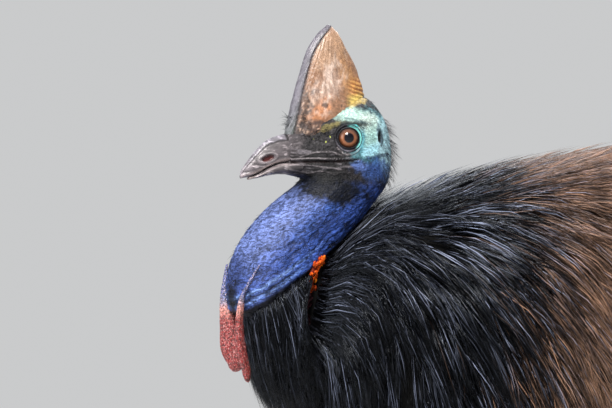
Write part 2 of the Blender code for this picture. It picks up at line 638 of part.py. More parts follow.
def torso(finish, clear_of):
    """The torso with its plumage: the body, the feathered base of the neck, and flat locks over both,
    joined into one body and cut clear of its neighbours."""
    made = torso_core("torso", finish)
    base = skin_length("neck_base", UPPER_NECK_END - 1, len(LADDER) - 1, 8, finish, -0.0005)
    slice_off(base, RUFF_POINT - RUFF_OUT * SEAT_GAP, RUFF_OUT)
    roots = torso_roots()
    rng = np.random.default_rng(TORSO_SEED)
    vary = lambda spread: 1 + spread * rng.uniform(-1, 1, len(roots))
    height, out = body_height(roots)
    lengths = (LOCK_LENGTH + RUMP_MORE * np.clip(out[:, 1], 0, 1) - BELLY_LESS * np.clip(-out[:, 2], 0, 1)
               - BREAST_LESS * np.clip(-out[:, 1], 0, 1)) * vary(0.15)
    tips = rng.uniform(*LOCK_TIP_HEIGHTS, len(roots)) * (1 - BREAST_FLATTER * np.clip(-out[:, 1], 0, 1))
    paths, faces = comb(roots, lengths, tips, rng.normal(0, 0.12, len(roots)))
    wide, thick = LOCK_HALF_WIDTH * vary(0.18), LOCK_THICK * vary(0.2)
    locks = [lock("lock", paths[i], faces[i], wide[i], thick[i], finish) for i in range(len(roots))]
    combine(made, [base] + locks, "UNION")
    return combine(made, clear_of, "DIFFERENCE")


def tube(name, path, widths, depths, sides, finish, power=2.0, lifts=None):
    """A limb along a path of points: oval sections square to it, with half widths across and half depths.
    lifts raises the front of each section."""
    path = np.asarray(path, float)
    onward = unit(np.gradient(path, axis=0))
    rings = []
    for i, (point, way) in enumerate(zip(path, onward)):
        up = unit(np.cross(way, ACROSS))
        across = np.cross(up, way)
        ring = oval(point, across, up, widths[i], depths[i], sides, power)
        if lifts is not None:
            out = unit(ring - point)
            ring += out * (np.clip(-out[:, 1:2], 0, 1) > 0.2) * lifts[i]
        rings.append(ring)
    return loft(name, rings, finish)


def lower_neck(finish, grow=0.0):
    """The bulging lower neck down to the plumage, with the wrinkled folds at each side of its base."""
    made = skin_length("neck_lower", UPPER_NECK_END, len(LADDER) - 1, 9, finish, grow)
    slice_off(made, RUFF_POINT - RUFF_OUT * grow, -RUFF_OUT)
    folds = []
    rows = smooth(np.linspace(0, 1, CARUNCLE_COUNT), np.linspace(0, 1, len(CARUNCLES)), CARUNCLES)
    for side in SIDES.values():
        for i, (rung, turn, size) in enumerate(rows):
            place, out = skin_point(rung, math.radians(turn) * side)
            axis = (side, 0.1, 0.2 * (-1) ** i)
            folds.append(ball("fold", place + out * CARUNCLE_STAND, axis, size + grow * 1.2, 7, 3, finish))
    return combine(made, folds, "UNION")


def wattle(side_name, finish, neck):
    """One of the two long flaps that hang from the front of the neck, flat but for a swelling at its end."""
    side = SIDES[side_name]
    table = np.array(WATTLES[side_name])
    knots = np.linspace(0, 1, len(table))
    turn = math.radians(WATTLE_TURNS[side_name])
    flat = np.array([math.sin(turn) * side, -math.cos(turn), 0])
    rings = []
    for f in np.linspace(0, 1, WATTLE_RINGS):
        x, y, z, half_wide, half_thick = smooth(f, knots, table)
        ahead, behind = (smooth(np.clip(f + step, 0, 1), knots, table)[:3] for step in (0.03, -0.03))
        way = unit((ahead - behind) * (side, 1, 1))
        across = unit(flat - way * (flat @ way))
        rings.append(oval((x * side, y, z), across, np.cross(way, across), half_wide, half_thick, WATTLE_SIDES))
    tip = rings[-1].mean(0) - UP * table[-1, 3] * WATTLE_END
    made = loft(f"wattle_{side_name}", rings, finish, last_tip=tip)
    return combine(made, [swollen(neck, GAP)], "DIFFERENCE")


def leg_points(side_name):
    """Knee, calf, ankle and foot of one leg, in world places."""
    side, step = SIDES[side_name], STANCE[side_name]
    return [np.array([side * x, y + step * share, z])
            for (x, y, z), share in zip((KNEE, CALF, ANKLE, FOOT), (0.2, 0.7, 1.0, 1.0))]


def thigh_place(side_name, along, turn, height):
    """A point at a share of the way down the thigh, a turn round it from its outer side, and a height over it."""
    knee, calf, ankle, foot = leg_points(side_name)
    middle = (knee + calf) / 2 + np.array([0, THIGH_BOW, 0])
    line = lambda share: smooth(np.clip(share, 0, 1), [0, 0.5, 1], [knee, middle, calf])
    way = unit(line(along + 0.03) - line(along - 0.03))
    point = line(along) + way * max(along - 1, 0) * np.linalg.norm(calf - knee)
    size = float(smooth(np.clip(along, 0, 1), *zip(*THIGH)))
    out_side = unit(ACROSS - way * way[0]) * SIDES[side_name]
    back = np.cross(way, out_side) * SIDES[side_name]
    aside, behind = out_side * math.cos(turn), back * math.sin(turn)
    out = unit(aside / THIGH_SIDEWAYS + behind / THIGH_BACKWARD)
    return point + (aside * THIGH_SIDEWAYS + behind * THIGH_BACKWARD) * size + out * height, out


def thigh(side_name, finish, grow=0.0):
    """The drumstick from where it leaves the torso down to the bare shank, under flat locks that hang down it."""
    turns = np.arange(THIGH_SIDES) * TAU / THIGH_SIDES
    rings = [[thigh_place(side_name, along, turn, grow)[0] for turn in turns]
             for along in np.linspace(0, 1 + grow * 10, 8)]
    made = loft(f"thigh_{side_name}", rings, finish)
    rng = np.random.default_rng(THIGH_SEED)
    locks = []
    for k in range(THIGH_LOCKS):
        start = THIGH_LOCK_START + THIGH_LOCK_RANGE * (k + 0.5) / THIGH_LOCKS
        turn = k * GOLDEN_TURN
        reach, drift, rise = rng.uniform(0.34, 0.50), rng.normal(0, 0.10), rng.uniform(0.012, 0.022)
        steps = np.linspace(0, 1, LOCK_STEPS + 1)
        path, outs = zip(*[thigh_place(side_name, start + reach * f, turn + drift * f,
                                       -0.5 * ROOT_DEPTH + (rise + 0.5 * ROOT_DEPTH) * f) for f in steps])
        half_wide = THIGH_LOCK_HALF_WIDTH * rng.uniform(0.85, 1.15)
        locks.append(lock("lock", np.array(path), np.array(outs), half_wide, THIGH_LOCK_THICK, finish, grow))
    combine(made, locks, "UNION")
    return made if grow else combine(made, [torso_core("seat", finish, SEAT_GAP)], "DIFFERENCE")


def limb_sizes(steps, table):
    """The half widths and half depths of a limb at each step, from its table."""
    table = np.array(table)
    return smooth(steps, table[:, 0], table[:, 1:]).T


def shank(side_name, finish, thigh_made):
    """The bare lower end of the shank, swelling to the ankle."""
    knee, calf, ankle, foot = leg_points(side_name)
    start = calf - unit(ankle - calf) * SUNK
    steps = np.linspace(0, 1, 8)
    path = [start + (ankle - start) * f for f in steps]
    wide, deep = limb_sizes(steps, SHANK)
    made = tube(f"shank_{side_name}", path, wide, deep, 12, finish)
    slice_off(made, calf + unit(ankle - calf) * SEAT_GAP, calf - ankle)
    combine(thigh_made, [swollen(made, GAP)], "DIFFERENCE")
    return made


def tarsus(side_name, finish, shank_made):
    """The long foot bone from the ankle down to the pad where the toes meet, with raised scutes down its front."""
    knee, calf, ankle, foot = leg_points(side_name)
    start = ankle - unit(foot - ankle) * SUNK
    steps, lifts = [0.0, 0.05], [0.0, 0.0]
    edges = np.linspace(FIRST_SCUTE, LAST_SCUTE, SCUTES + 1)
    for low, high in zip(edges[:-1], edges[1:]):
        steps += [low + 0.004, high - 0.008]
        lifts += [SCUTE_LIFT * 0.35, SCUTE_LIFT]
    steps, lifts = np.array(steps + [1.0]), np.array(lifts + [0.0])
    path = np.array([start + (foot - start) * f for f in steps])
    wide, deep = limb_sizes(steps, TARSUS)
    made = tube(f"tarsus_{side_name}", path, wide, deep, 12, finish, lifts=lifts)
    combine(made, [foot_pad(side_name, finish)], "UNION")
    return combine(made, [swollen(shank_made, GAP)], "DIFFERENCE")


def foot_pad(side_name, finish, grow=0.0):
    """The rounded pad under the foot, flat where it rests on the floor."""
    foot = leg_points(side_name)[3]
    rings = []
    for t in np.linspace(0, 1, 6):
        z = PAD["high"] * t - (grow if t == 0 else 0)
        bulge = 1 - ((z - PAD["widest"]) / PAD["half_high"]) ** 2
        reach = FOOT_RADIUS * math.sqrt(max(bulge, PAD["least"])) + grow
        rings.append(oval((foot[0], foot[1], max(z, -0.01)), ACROSS, np.array([0, 1, 0]), reach, reach, 12))
    return loft("pad", rings, finish)


def toe_line(side_name, heading, root_turn):
    """Where a toe leaves the pad, on the floor, the way that it points and the way across it."""
    foot, side = leg_points(side_name)[3], SIDES[side_name]
    way, root = (np.array([math.sin(turn) * side, -math.cos(turn), 0]) for turn in (heading, root_turn))
    return np.array([foot[0], foot[1], 0]) + root * FOOT_RADIUS * TOE_ROOT, way, np.array([-way[1], way[0], 0])


def toe(name, side_name, heading, root_turn, length, half_wide, high, finish, beside):
    """A toe that leaves the foot's pad and lies flat on the floor."""
    start, way, across = toe_line(side_name, heading, root_turn)
    steps, lifts = [0.0, 0.14], [0.0, 0.0]
    edges = np.linspace(0.18, 1, TOE_SCUTES + 1)
    for low, far in zip(edges[:-1], edges[1:]):
        steps += [low + 0.012, far - 0.012]
        lifts += [TOE_SCUTE_LIFT / 3, TOE_SCUTE_LIFT]
    rings = []
    for f, lift in zip(steps, lifts):
        middle = start + way * length * f
        taper = 1 - TOE_TAPER * f
        tall = high * taper
        ring = oval(middle + UP * tall * 0.5, across, UP, half_wide * taper, tall * TOE_DEEP, 8, 2.3)
        ring[:, 2] += lift * (ring[:, 2] > tall * 0.6)
        ring[:, 2] = np.maximum(ring[:, 2], 0)
        rings.append(ring)
    made = loft(name, rings, finish)
    combine(made, [foot_pad(side_name, finish, GAP)], "DIFFERENCE")
    if beside:
        combine(made, [swollen(beside, GAP)], "DIFFERENCE")
    return made


def claw(name, side_name, heading, root_turn, toe_length, half_wide, high, length, rise, finish):
    """A pointed claw that carries on from the tip of its toe, just clear of the floor."""
    root, way, across = toe_line(side_name, heading, root_turn)
    start = root + way * (toe_length + GAP)
    tall = high * CLAW["tall"]
    rings = []
    for f in np.linspace(0, CLAW["last_ring"], 6):
        lift = tall / 2 * (1 - f) + CLAW["tip"] * f + rise * math.sin(f * math.pi)
        shrink = (1 - f) ** CLAW["narrows"]
        ring = oval(start + way * length * f + UP * lift, across, UP, half_wide * CLAW["wide"] * shrink,
                    tall * CLAW["deep"] * shrink, 6)
        ring[:, 2] = np.maximum(ring[:, 2], CLAW["clear"])
        rings.append(ring)
    return loft(name, rings, finish, last_tip=start + way * length + UP * CLAW["tip"])


def feet(side_name, finishes):
    """The three toes of a foot with their claws. The inner toe carries the long dagger."""
    middle = None
    for which, (heading, root, length, wide, high, claw_long, rise) in TOES.items():
        made = toe(f"toe_{which}_{side_name}", side_name, heading, root, length, wide, high,
                   finishes["scale"], middle)
        middle = middle or made
        claw(f"claw_{which}_{side_name}", side_name, heading, root, length, wide, high, claw_long, rise,
             finishes["claw"])


def wing(side_name, finish, grow=0.0):
    """The stub of a wing on the flank with its long bare quills, which curve back and down."""
    side = SIDES[side_name]
    steps = np.linspace(0, 1, 6)
    front, rear = np.array(WING_FRONT), np.array(WING_REAR)
    path = [(front + (rear - front) * f) * (side, 1, 1) for f in steps]
    size = smooth(steps, *zip(*WING)) + grow * 1.5
    path[0], path[-1] = path[0] - (path[1] - path[0]) * grow * 90, path[-1] + (path[-1] - path[-2]) * grow * 90
    made = tube(f"wing_{side_name}", path, size * 0.80, size * 1.25, 8, finish)
    quills = []
    for i in range(QUILLS):
        root = path[3 + (i > 1)] + UP * QUILL_SPACING * (1.5 - i)
        length = QUILL_LENGTH * (0.72 + 0.28 * math.sin((i + 1) * math.pi / (QUILLS + 1)))
        points, bend = [root], QUILL_DROOP + QUILL_FAN * i
        for k in range(QUILL_STEPS):
            way = np.array([0.16 * side * (1 - k / 3), math.cos(bend), -math.sin(bend)])
            points.append(points[-1] + unit(way) * length / QUILL_STEPS)
            bend += QUILL_CURL
        points[-1] = points[-1] + unit(points[-1] - points[-2]) * grow * 4
        thin = np.linspace(1, 0.30, len(points) - 1) * QUILL_RADIUS + grow * 2.2
        quills.append(spine("quill", points, thin, finish))
    combine(made, quills, "UNION")
    return made if grow else combine(made, [torso_core("seat", finish, SEAT_GAP)], "DIFFERENCE")


def spine(name, points, radii, finish):
    """A thin tapering spine with a three-sided section."""
    points = np.asarray(points, float)
    way = unit(np.gradient(points, axis=0))
    across = unit(np.cross(way, UP))
    up = np.cross(across, way)
    turns = np.arange(3) * TAU / 3
    rings = [[points[i] + (across[i] * math.cos(t) + up[i] * math.sin(t)) * radii[i] for t in turns]
             for i in range(len(radii))]
    return loft(name, rings, finish, last_tip=points[-1])


def centre_on_floor():
    """Moves the whole bird so that the middle of its box stands over the origin."""
    nodes = list(bpy.context.scene.objects)
    corners = np.array([v.co for o in nodes for v in o.data.vertices])
    low, high = corners.min(0), corners.max(0)
    move = Vector((-(low[0] + high[0]) / 2, -(low[1] + high[1]) / 2, -low[2]))
    for node in nodes:
        node.data.transform(node.matrix_world)
        for vert in node.data.vertices:
            vert.co += move
    print("moved by", tuple(round(v, 4) for v in move), "box", (high - low).round(4))


def build():
    for old in list(bpy.data.objects):
        bpy.data.objects.remove(old)
    finishes = {
        "feather": finish_of("plumage", FEATHER_BLACK, 0.55),
        "neck": finish_of("neck_skin", NECK_BLUE, 0.5),
        "skin": finish_of("head_skin", SKIN_TEAL, 0.5),
        "wattle": finish_of("wattle", WATTLE_RED, 0.5),
        "horn": finish_of("casque_horn", HORN_BROWN, 0.4),
        "bill": finish_of("bill_horn", BILL_GREY, 0.4),
        "eye": finish_of("eye", EYE_AMBER, 0.08),
        "scale": finish_of("leg_scale", SCALE_GREY, 0.6),
        "claw": finish_of("claw_horn", CLAW_HORN, 0.4),
    }
    head(finishes)
    casque(finishes["horn"])
    upper_bill(finishes["bill"])
    bill("bill_lower", LOWER_BILL, finishes["bill"], -0.25)
    skin_length("neck_upper", HEAD_END, UPPER_NECK_END, 5, finishes["neck"])
    neck = lower_neck(finishes["neck"])
    clear_of = [skin_length("grown_neck", HEAD_END, UPPER_NECK_END, 5, finishes["neck"], SEAT_GAP),
                lower_neck(finishes["neck"], SEAT_GAP)]
    for name, side in SIDES.items():
        centre, look = eye_frame(side)
        ball(f"eye_{name}", centre, look, EYE_RADIUS, EYE_SIDES, EYE_RINGS, finishes["eye"])
        ear(f"ear_{name}", side, finishes["skin"])
        clear_of.append(swollen(wattle(name, finishes["wattle"], neck), GAP))
        thigh_made = thigh(name, finishes["feather"])
        shank_made = shank(name, finishes["scale"], thigh_made)
        tarsus(name, finishes["scale"], shank_made)
        feet(name, finishes)
        wing(name, finishes["feather"])
        clear_of += [thigh(name, finishes["feather"], SEAT_GAP), wing(name, finishes["feather"], SEAT_GAP)]
    torso(finishes["feather"], clear_of)
    centre_on_floor()


build()
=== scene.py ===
"""The looks of a southern cassowary that stands still: its bare skin, horn, eyes, plumage, legs and studio.

Every size is in metres. The bird faces -Y, its left side is at +X and +Z is up. Places are written in the
bird's own frame, in which its neck was laid out, and `placed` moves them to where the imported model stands.
"""

import math

import bpy
import numpy as np
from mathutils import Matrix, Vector


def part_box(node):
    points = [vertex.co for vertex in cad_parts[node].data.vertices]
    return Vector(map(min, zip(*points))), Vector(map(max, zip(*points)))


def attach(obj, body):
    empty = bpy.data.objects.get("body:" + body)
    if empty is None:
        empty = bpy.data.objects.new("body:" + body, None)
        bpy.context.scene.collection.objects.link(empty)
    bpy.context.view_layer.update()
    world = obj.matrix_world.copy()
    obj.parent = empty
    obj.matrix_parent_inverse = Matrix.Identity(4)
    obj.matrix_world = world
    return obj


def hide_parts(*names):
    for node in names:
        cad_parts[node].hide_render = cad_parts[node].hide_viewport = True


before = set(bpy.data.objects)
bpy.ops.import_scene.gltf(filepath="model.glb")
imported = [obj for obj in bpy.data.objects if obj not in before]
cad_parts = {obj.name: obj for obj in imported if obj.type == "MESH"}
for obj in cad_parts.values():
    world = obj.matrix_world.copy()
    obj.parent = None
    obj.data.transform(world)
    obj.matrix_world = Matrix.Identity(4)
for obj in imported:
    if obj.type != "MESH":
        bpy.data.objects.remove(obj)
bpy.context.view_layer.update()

bl_info = {
    "name": "Standing cassowary",
    "version": (1, 0, 0),
    "blender": (4, 5, 0),
    "location": "View3D > Sidebar > Cassowary",
    "description": "Builds the skin, horn, plumage and studio of a life-size cassowary over its solids",
    "category": "Mesh",
}

TAU = 2 * math.pi
ACROSS = np.array([1.0, 0.0, 0.0])
BACK = np.array([0.0, 1.0, 0.0])
UP = np.array([0.0, 0.0, 1.0])
SIDES = {"left": 1.0, "right": -1.0}

# Head and bare neck as a ladder: each rung runs from the crown or nape down to the chin or throat.
# Columns: nape y, nape z, throat y, throat z, half width.
LADDER = np.array([
    (-0.412, 1.046, -0.412, 0.9990, 0.0140),
    (-0.380, 1.066, -0.396, 0.9955, 0.0225),
    (-0.345, 1.082, -0.390, 0.9935, 0.0300),
    (-0.314, 1.090, -0.389, 0.9925, 0.0335),
    (-0.289, 1.066, -0.3895, 0.9915, 0.0350),
    (-0.2790, 1.030, -0.392, 0.9900, 0.0360),
    (-0.2830, 0.993, -0.403, 0.9825, 0.0375),
    (-0.3060, 0.962, -0.430, 0.9620, 0.0410),
    (-0.3380, 0.926, -0.459, 0.9330, 0.0450),
    (-0.3700, 0.890, -0.478, 0.8980, 0.0470),
    (-0.3880, 0.850, -0.482, 0.8600, 0.0460),
    (-0.3850, 0.815, -0.472, 0.8250, 0.0430),
])
LADDER_POWER = 2.15
HEAD_RUNGS = 6.0
HEAD_ROWS, NECK_ROWS, SKIN_COLUMNS = 172, 120, 256

# Casque. Columns: height, front y, rear y, half thickness.
CASQUE = np.array([
    (1.030, -0.4116, -0.3020, 0.0235),
    (1.048, -0.4116, -0.3050, 0.0230),
    (1.070, -0.4060, -0.3095, 0.0215),
    (1.107, -0.3963, -0.3165, 0.0168),
    (1.144, -0.3820, -0.3340, 0.0108),
    (1.161, -0.3695, -0.3450, 0.0070),
    (1.1716, -0.3590, -0.3545, 0.0018),
])
KEEL_WIDE, KEEL_GROOVE = 0.0066, 0.0009

# Patches of colour on its side, in millimetres behind and above the eye. Columns: behind, above, half length,
# half height, turn of the rear end upwards in degrees, softness, raggedness, strength, colour.
HORN = (
    # The smooth pale middle is partly the horn's own colour and partly a painted sheen.
    (-22, 60, 36, 12, 68, 1.2, 0.8, 0.85, (160, 136, 122)),  # smooth pale middle
    (-20, 102, 26, 16, 62, 1.0, 0.6, 0.60, (168, 138, 114)),  # brown top
    (2, 66, 34, 8, 108, 1.0, 0.6, 0.70, (166, 122, 80)),  # brown rear edge
    (-34, 26, 20, 10, 58, 1.0, 0.8, 0.65, (178, 112, 64)),  # orange-brown foot
    (-60, 26, 38, 12, 62, 1.1, 0.9, 0.70, (92, 74, 66)),  # dark front
    (-56, 10, 26, 10, 6, 0.9, 0.9, 0.90, (54, 46, 46)),  # dark foot
)

# Bill. Columns: y, top z, tomium z, half width.
UPPER_BILL = np.array([
    (-0.3980, 1.0480, 1.0140, 0.0168),
    (-0.4123, 1.0455, 1.0128, 0.0150),
    (-0.4240, 1.0428, 1.0112, 0.0135),
    (-0.4375, 1.0370, 1.0060, 0.0115),
    (-0.4500, 1.0262, 0.9995, 0.0090),
    (-0.4620, 1.0125, 0.9955, 0.0062),
    (-0.4700, 1.0020, 0.9940, 0.0022),
])
LOWER_BILL = np.array([
    (-0.3980, 1.0140, 1.0000, 0.0152),
    (-0.4123, 1.0125, 0.9990, 0.0136),
    (-0.4240, 1.0109, 0.9990, 0.0122),
    (-0.4375, 1.0057, 0.9972, 0.0100),
    (-0.4500, 0.9992, 0.9945, 0.0072),
    (-0.4600, 0.9955, 0.9930, 0.0030),
])
NOSTRIL = dict(y=-0.4384, z=1.0171, half_long=0.0083, half_high=0.0039, deep=0.0035, rise=0.32)

EYE_RADIUS, IRIS_RADIUS, PUPIL_RADIUS = 0.0142, 0.0108, 0.0056
EYE_CENTRE = np.array([0.0222, -0.3440, 1.0404])
EYE_TURN, EYE_RISE = math.radians(19), 0.03
LID_OPENING, LID_REACH, SOCKET_DEEP = 0.0113, 0.0185, 0.0062
LID_FOLDS = ((0.0013, 0.13, 0.10), (-0.0010, 0.34, 0.08), (0.0011, 0.55, 0.11), (-0.0005, 0.78, 0.07))
EAR = dict(rung=4.32, around=math.radians(54.5), way=(0, 0.3, 1), long=0.0085, wide=0.0036, deep=0.0040,
           rim=0.0011)
MOUTH = dict(front=-0.412, rear=-0.331, front_z=1.0127, rear_z=1.0165, deep=0.0020, half_wide=0.0010,
             lip=0.0009)

# Torso. Columns: y, centre height, half width, half height.
TORSO_FRONT, TORSO_REAR = -0.410, 0.410
TORSO = np.array([
    (-0.430, 0.805, 0.165, 0.190),
    (-0.190, 0.785, 0.180, 0.212),
    (-0.070, 0.789, 0.192, 0.215),
    (0.120, 0.813, 0.200, 0.215),
    (0.300, 0.820, 0.190, 0.215),
    (0.420, 0.800, 0.170, 0.215),
])
TORSO_POWER, TORSO_END_POWER = 2.3, 2.3
TORSO_MIDDLE, TORSO_HALF = (TORSO_FRONT + TORSO_REAR) / 2, (TORSO_REAR - TORSO_FRONT) / 2
RUFF_POINT = np.array([0, -0.2967, 0.9640])  # bare skin ends at the plane through this point of the nape
RUFF_OUT = np.array([0, -0.5507, 0.8347])
RUFF_ALONG = np.array([0, 0.8347, 0.5507])
NECK_BASE = dict(middle=(0, -0.4250, 0.850), wide=0.047, deep=0.053, lean=0.55, bottom=0.75)
BLEND = 0.010  # how softly the neck's base runs into the torso
PARTING = dict(top=(0.0400, -0.3830, 0.9063), low=(0.0370, -0.4020, 0.8300), out=(0.89, -0.454, 0.0),
               clear=0.0044, ahead=1.45, behind=0.6)

# Wattles from the neck down. Columns: x on the left side, y, z, half width, half thickness.
WATTLES = {
    "left": np.array([
        (0.0350, -0.4625, 0.8960, 0.0010, 0.0010), (0.0300, -0.4725, 0.8770, 0.0026, 0.0020),
        (0.0245, -0.4795, 0.8580, 0.0048, 0.0030), (0.0245, -0.4830, 0.8320, 0.0078, 0.0042),
        (0.0245, -0.4805, 0.8000, 0.0098, 0.0050), (0.0225, -0.4710, 0.7690, 0.0072, 0.0045)]),
    "right": np.array([
        (0.0290, -0.4730, 0.8960, 0.0010, 0.0010), (0.0270, -0.4760, 0.8770, 0.0034, 0.0022),
        (0.0235, -0.4775, 0.8580, 0.0060, 0.0032), (0.0210, -0.4760, 0.8320, 0.0098, 0.0044),
        (0.0200, -0.4715, 0.8000, 0.0122, 0.0054), (0.0185, -0.4655, 0.7790, 0.0090, 0.0048)]),
}
WATTLE_TURNS = {"left": math.radians(48), "right": math.radians(40)}

# Middle line of the orange folds at the neck's base, in millimetres behind and above the eye
FOLD_LINE = np.array([(-26.0, -135.0), (-36.5, -146.5), (-41.0, -161.0), (-41.5, -174.0), (-46.0, -187.0),
                      (-45.0, -213.0)])

# Legs. STANCE is how far each foot is set back, and the points are those of the left leg.
STANCE = {"left": -0.030, "right": 0.030}
KNEE, CALF = (0.100, -0.010, 0.665), (0.107, 0.105, 0.480)
ANKLE, FOOT = (0.112, 0.142, 0.365), (0.118, 0.085, 0.030)
FOOT_RADIUS = 0.033
TOES = {  # heading, turn of the root about the pad, length, half width, height, claw length, claw rise
    "middle": (math.radians(0), math.radians(0), 0.150, 0.0155, 0.0285, 0.048, 0.002),
    "inner": (math.radians(-27), math.radians(-62), 0.088, 0.0135, 0.0260, 0.112, 0.004),
    "outer": (math.radians(30), math.radians(62), 0.108, 0.0130, 0.0245, 0.042, 0.002),
}
LEG_VOXEL = 0.0023

# The viewer's place: the bird is seen from its left side and a little ahead
VIEW_AZIMUTH = math.radians(63)
VIEW_DISTANCE, VIEW_WIDTH, VIEW_TARGET = 3.9, 0.704, np.array([0.0, -0.386, 0.965])
SENSOR = 36.0
FLOOR_RADIUS = 4.0
SKY_BAND, SKY_LOW, SKY_HIGH = (0.07, 0.22), (0.95, 0.96, 0.97), (0.86, 0.90, 1.0)

LOCK_LENGTH, RUMP_MORE, BELLY_LESS, BREAST_LESS = 0.205, 0.080, 0.085, 0.050
TIP_HEIGHTS = (0.014, 0.040)
GUIDE_STEPS, STRAND_STEPS, STRANDS_PER_GUIDE = 12, 4, 12
STRAND_PATCH = 0.003  # size of a strand's patch in the unwrapped coat
FAN_REACH = 0.050


def placed(points):
    """Moves points from the bird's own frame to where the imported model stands: adds the shift of its left
    eye."""
    low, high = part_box("eye_left")
    return np.asarray(points, float) + ((np.array(low) + np.array(high)) / 2 - EYE_CENTRE)


def unit(v):
    """Each vector divided by its length."""
    v = np.asarray(v, float)
    return v / np.maximum(np.linalg.norm(v, axis=-1, keepdims=True), 1e-12)


def ease(x):
    """0 below 0, 1 above 1, and the cubic 3x^2 - 2x^3 between."""
    x = np.clip(x, 0, 1)
    return x * x * (3 - 2 * x)


def peak(x, middle, width):
    """A bell: 1 at the middle, and e to the power of minus the squared distance over the width elsewhere."""
    return np.exp(-(((x - middle) / width) ** 2))


def circle(count):
    """Angles that go once round in even steps."""
    return np.arange(count) / count * TAU


def rounded(v, power):
    """A sine or cosine raised to a power with its sign kept, which squares or sharpens the oval that it
    draws."""
    return np.sign(v) * np.abs(v) ** power


def ovals(path, across, up, wide, deep, turns, power=1.0):
    """A grid of ovals round a path: at each turn, the sine times the half width across and the cosine times
    the half depth up, both raised to a power."""
    sine, cosine = rounded(np.sin(turns), power), rounded(np.cos(turns), power)
    return path[:, None] + across * (sine * wide)[..., None] + up * (cosine * deep)[..., None]


def blended(colour, other, share):
    """colour mixed towards another by a share at each point."""
    return colour + (np.asarray(other) - colour) * share[..., None]


def linear(red, green, blue):
    """A colour given as it looks, from 0 to 255, as the linear light that the shader takes."""
    c = np.array([red, green, blue]) / 255
    return np.where(c < 0.04045, c / 12.92, ((c + 0.055) / 1.055) ** 2.4)


def all_over(points, colour):
    """One colour, given as it looks, at every point."""
    return np.broadcast_to(linear(*colour), points.shape)


def painted(tint, *layers):
    """Lays colours over a tint in turn. Each layer is a colour, given as it looks, and its share at each
    point."""
    for colour, share in layers:
        tint = blended(tint, linear(*colour), share)
    return tint


def user_colour(name):
    """One of the colours that a user may change."""
    return np.array(getattr(bpy.context.scene.cassowary_colours, name))


def smooth(t, knots, values):
    """Reads, at t, the piecewise cubic Hermite curve through the values at the knots."""
    t, knots, values = (np.asarray(a, float) for a in (t, knots, values))
    slopes = np.gradient(values, knots, axis=0)
    i = np.clip(np.searchsorted(knots, t, side="right") - 1, 0, len(knots) - 2)
    span = knots[i + 1] - knots[i]
    f = np.clip((t - knots[i]) / span, 0, 1)
    for _ in range(values.ndim - 1):
        f, span = f[..., None], span[..., None]
    start = (2 * f**3 - 3 * f**2 + 1) * values[i] + (f**3 - 2 * f**2 + f) * span * slopes[i]
    end = (3 * f**2 - 2 * f**3) * values[i + 1] + (f**3 - f**2) * span * slopes[i + 1]
    return start + end


def lattice(points, cell, seed):
    """Value noise from -1 to 1: a hashed number at each corner of a lattice of cells, blended with eased
    weights. cell may differ along each axis, which draws the noise out into streaks."""
    p = np.asarray(points, float) / cell
    base = np.floor(p).astype(np.int64)
    f = ease(p - base)
    total = np.zeros(p.shape[:-1])
    for corner in np.ndindex(*(2,) * p.shape[-1]):
        key = base + np.array(corner)
        h = np.full(p.shape[:-1], seed * 668265263, np.int64)
        for axis, prime in enumerate((73856093, 19349663, 83492791)[: p.shape[-1]]):
            h ^= key[..., axis] * prime
        h = ((h ^ (h >> 13)) * 1274126177) & 0xFFFFFFFF
        h = (h ^ (h >> 16)) & 0xFFFF
        weight = np.where(np.array(corner), f, 1 - f).prod(-1)
        total += (h / 32767.5 - 1) * weight
    return total


def layered(points, cell, seed, layers=3):
    """A sum of value noises, each with cells half as large and half as strong as the last."""
    cell = np.asarray(cell, float)
    return sum(lattice(points, cell / 2**k, seed + k) / 2**k for k in range(layers)) / 1.6


def mesh_piece(name, points, faces, kind, tint=None, uv=None):
    """A mesh object from arrays of points and faces, with the finish of a kind. tint is a colour at each
    point, in the attribute of that name, and uv a place at each point, in the map OFBake."""
    points = np.asarray(points, np.float32).reshape(-1, 3)
    corners = np.concatenate([f.reshape(-1) for f in faces]).astype(np.int32)
    counts = np.concatenate([np.full(len(f), f.shape[1]) for f in faces])
    mesh = bpy.data.meshes.new(name)
    mesh.vertices.add(len(points))
    mesh.vertices.foreach_set("co", points.ravel())
    mesh.loops.add(len(corners))
    mesh.loops.foreach_set("vertex_index", corners)
    mesh.polygons.add(len(counts))
    mesh.polygons.foreach_set("loop_start", (np.cumsum(counts) - counts).astype(np.int32))
    mesh.polygons.foreach_set("use_smooth", np.ones(len(counts), bool))
    mesh.update(calc_edges=True)
    if tint is not None:
        colours = np.concatenate([np.asarray(tint).reshape(-1, 3), np.ones((len(points), 1))], axis=1)
        mesh.attributes.new("tint", "FLOAT_COLOR", "POINT")
        mesh.attributes["tint"].data.foreach_set("color", colours.astype(np.float32).ravel())
    if uv is not None:
        mesh.uv_layers.new(name="OFBake")
        mesh.uv_layers["OFBake"].data.foreach_set("uv", uv.reshape(-1, 2)[corners].astype(np.float32).ravel())
    mesh.materials.append(finish(kind))
    piece = bpy.data.objects.new(name, mesh)
    bpy.context.scene.collection.objects.link(piece)
    return piece


def grid_faces(rows, columns, hoop=False):
    """Four-sided faces of a grid whose columns go round. In a hoop its last row joins the first one too.
    Points are numbered row by row."""
    r, c = np.meshgrid(np.arange(rows if hoop else rows - 1), np.arange(columns), indexing="ij")
    beside, below = (c + 1) % columns, (r + 1) % rows
    corners = [r * columns + c, r * columns + beside, below * columns + beside, below * columns + c]
    return np.stack(corners, axis=-1).reshape(-1, 4)


def fan_faces(rows, columns):
    """Three-sided faces from the first row of a grid to the point after its last one, and from its last row
    to the point after that."""
    c = np.arange(columns)
    beside, last, start = (c + 1) % columns, (rows - 1) * columns, rows * columns
    return np.concatenate([np.stack([np.full(columns, start), beside, c], axis=1),
                           np.stack([np.full(columns, start + 1), last + c, last + beside], axis=1)])


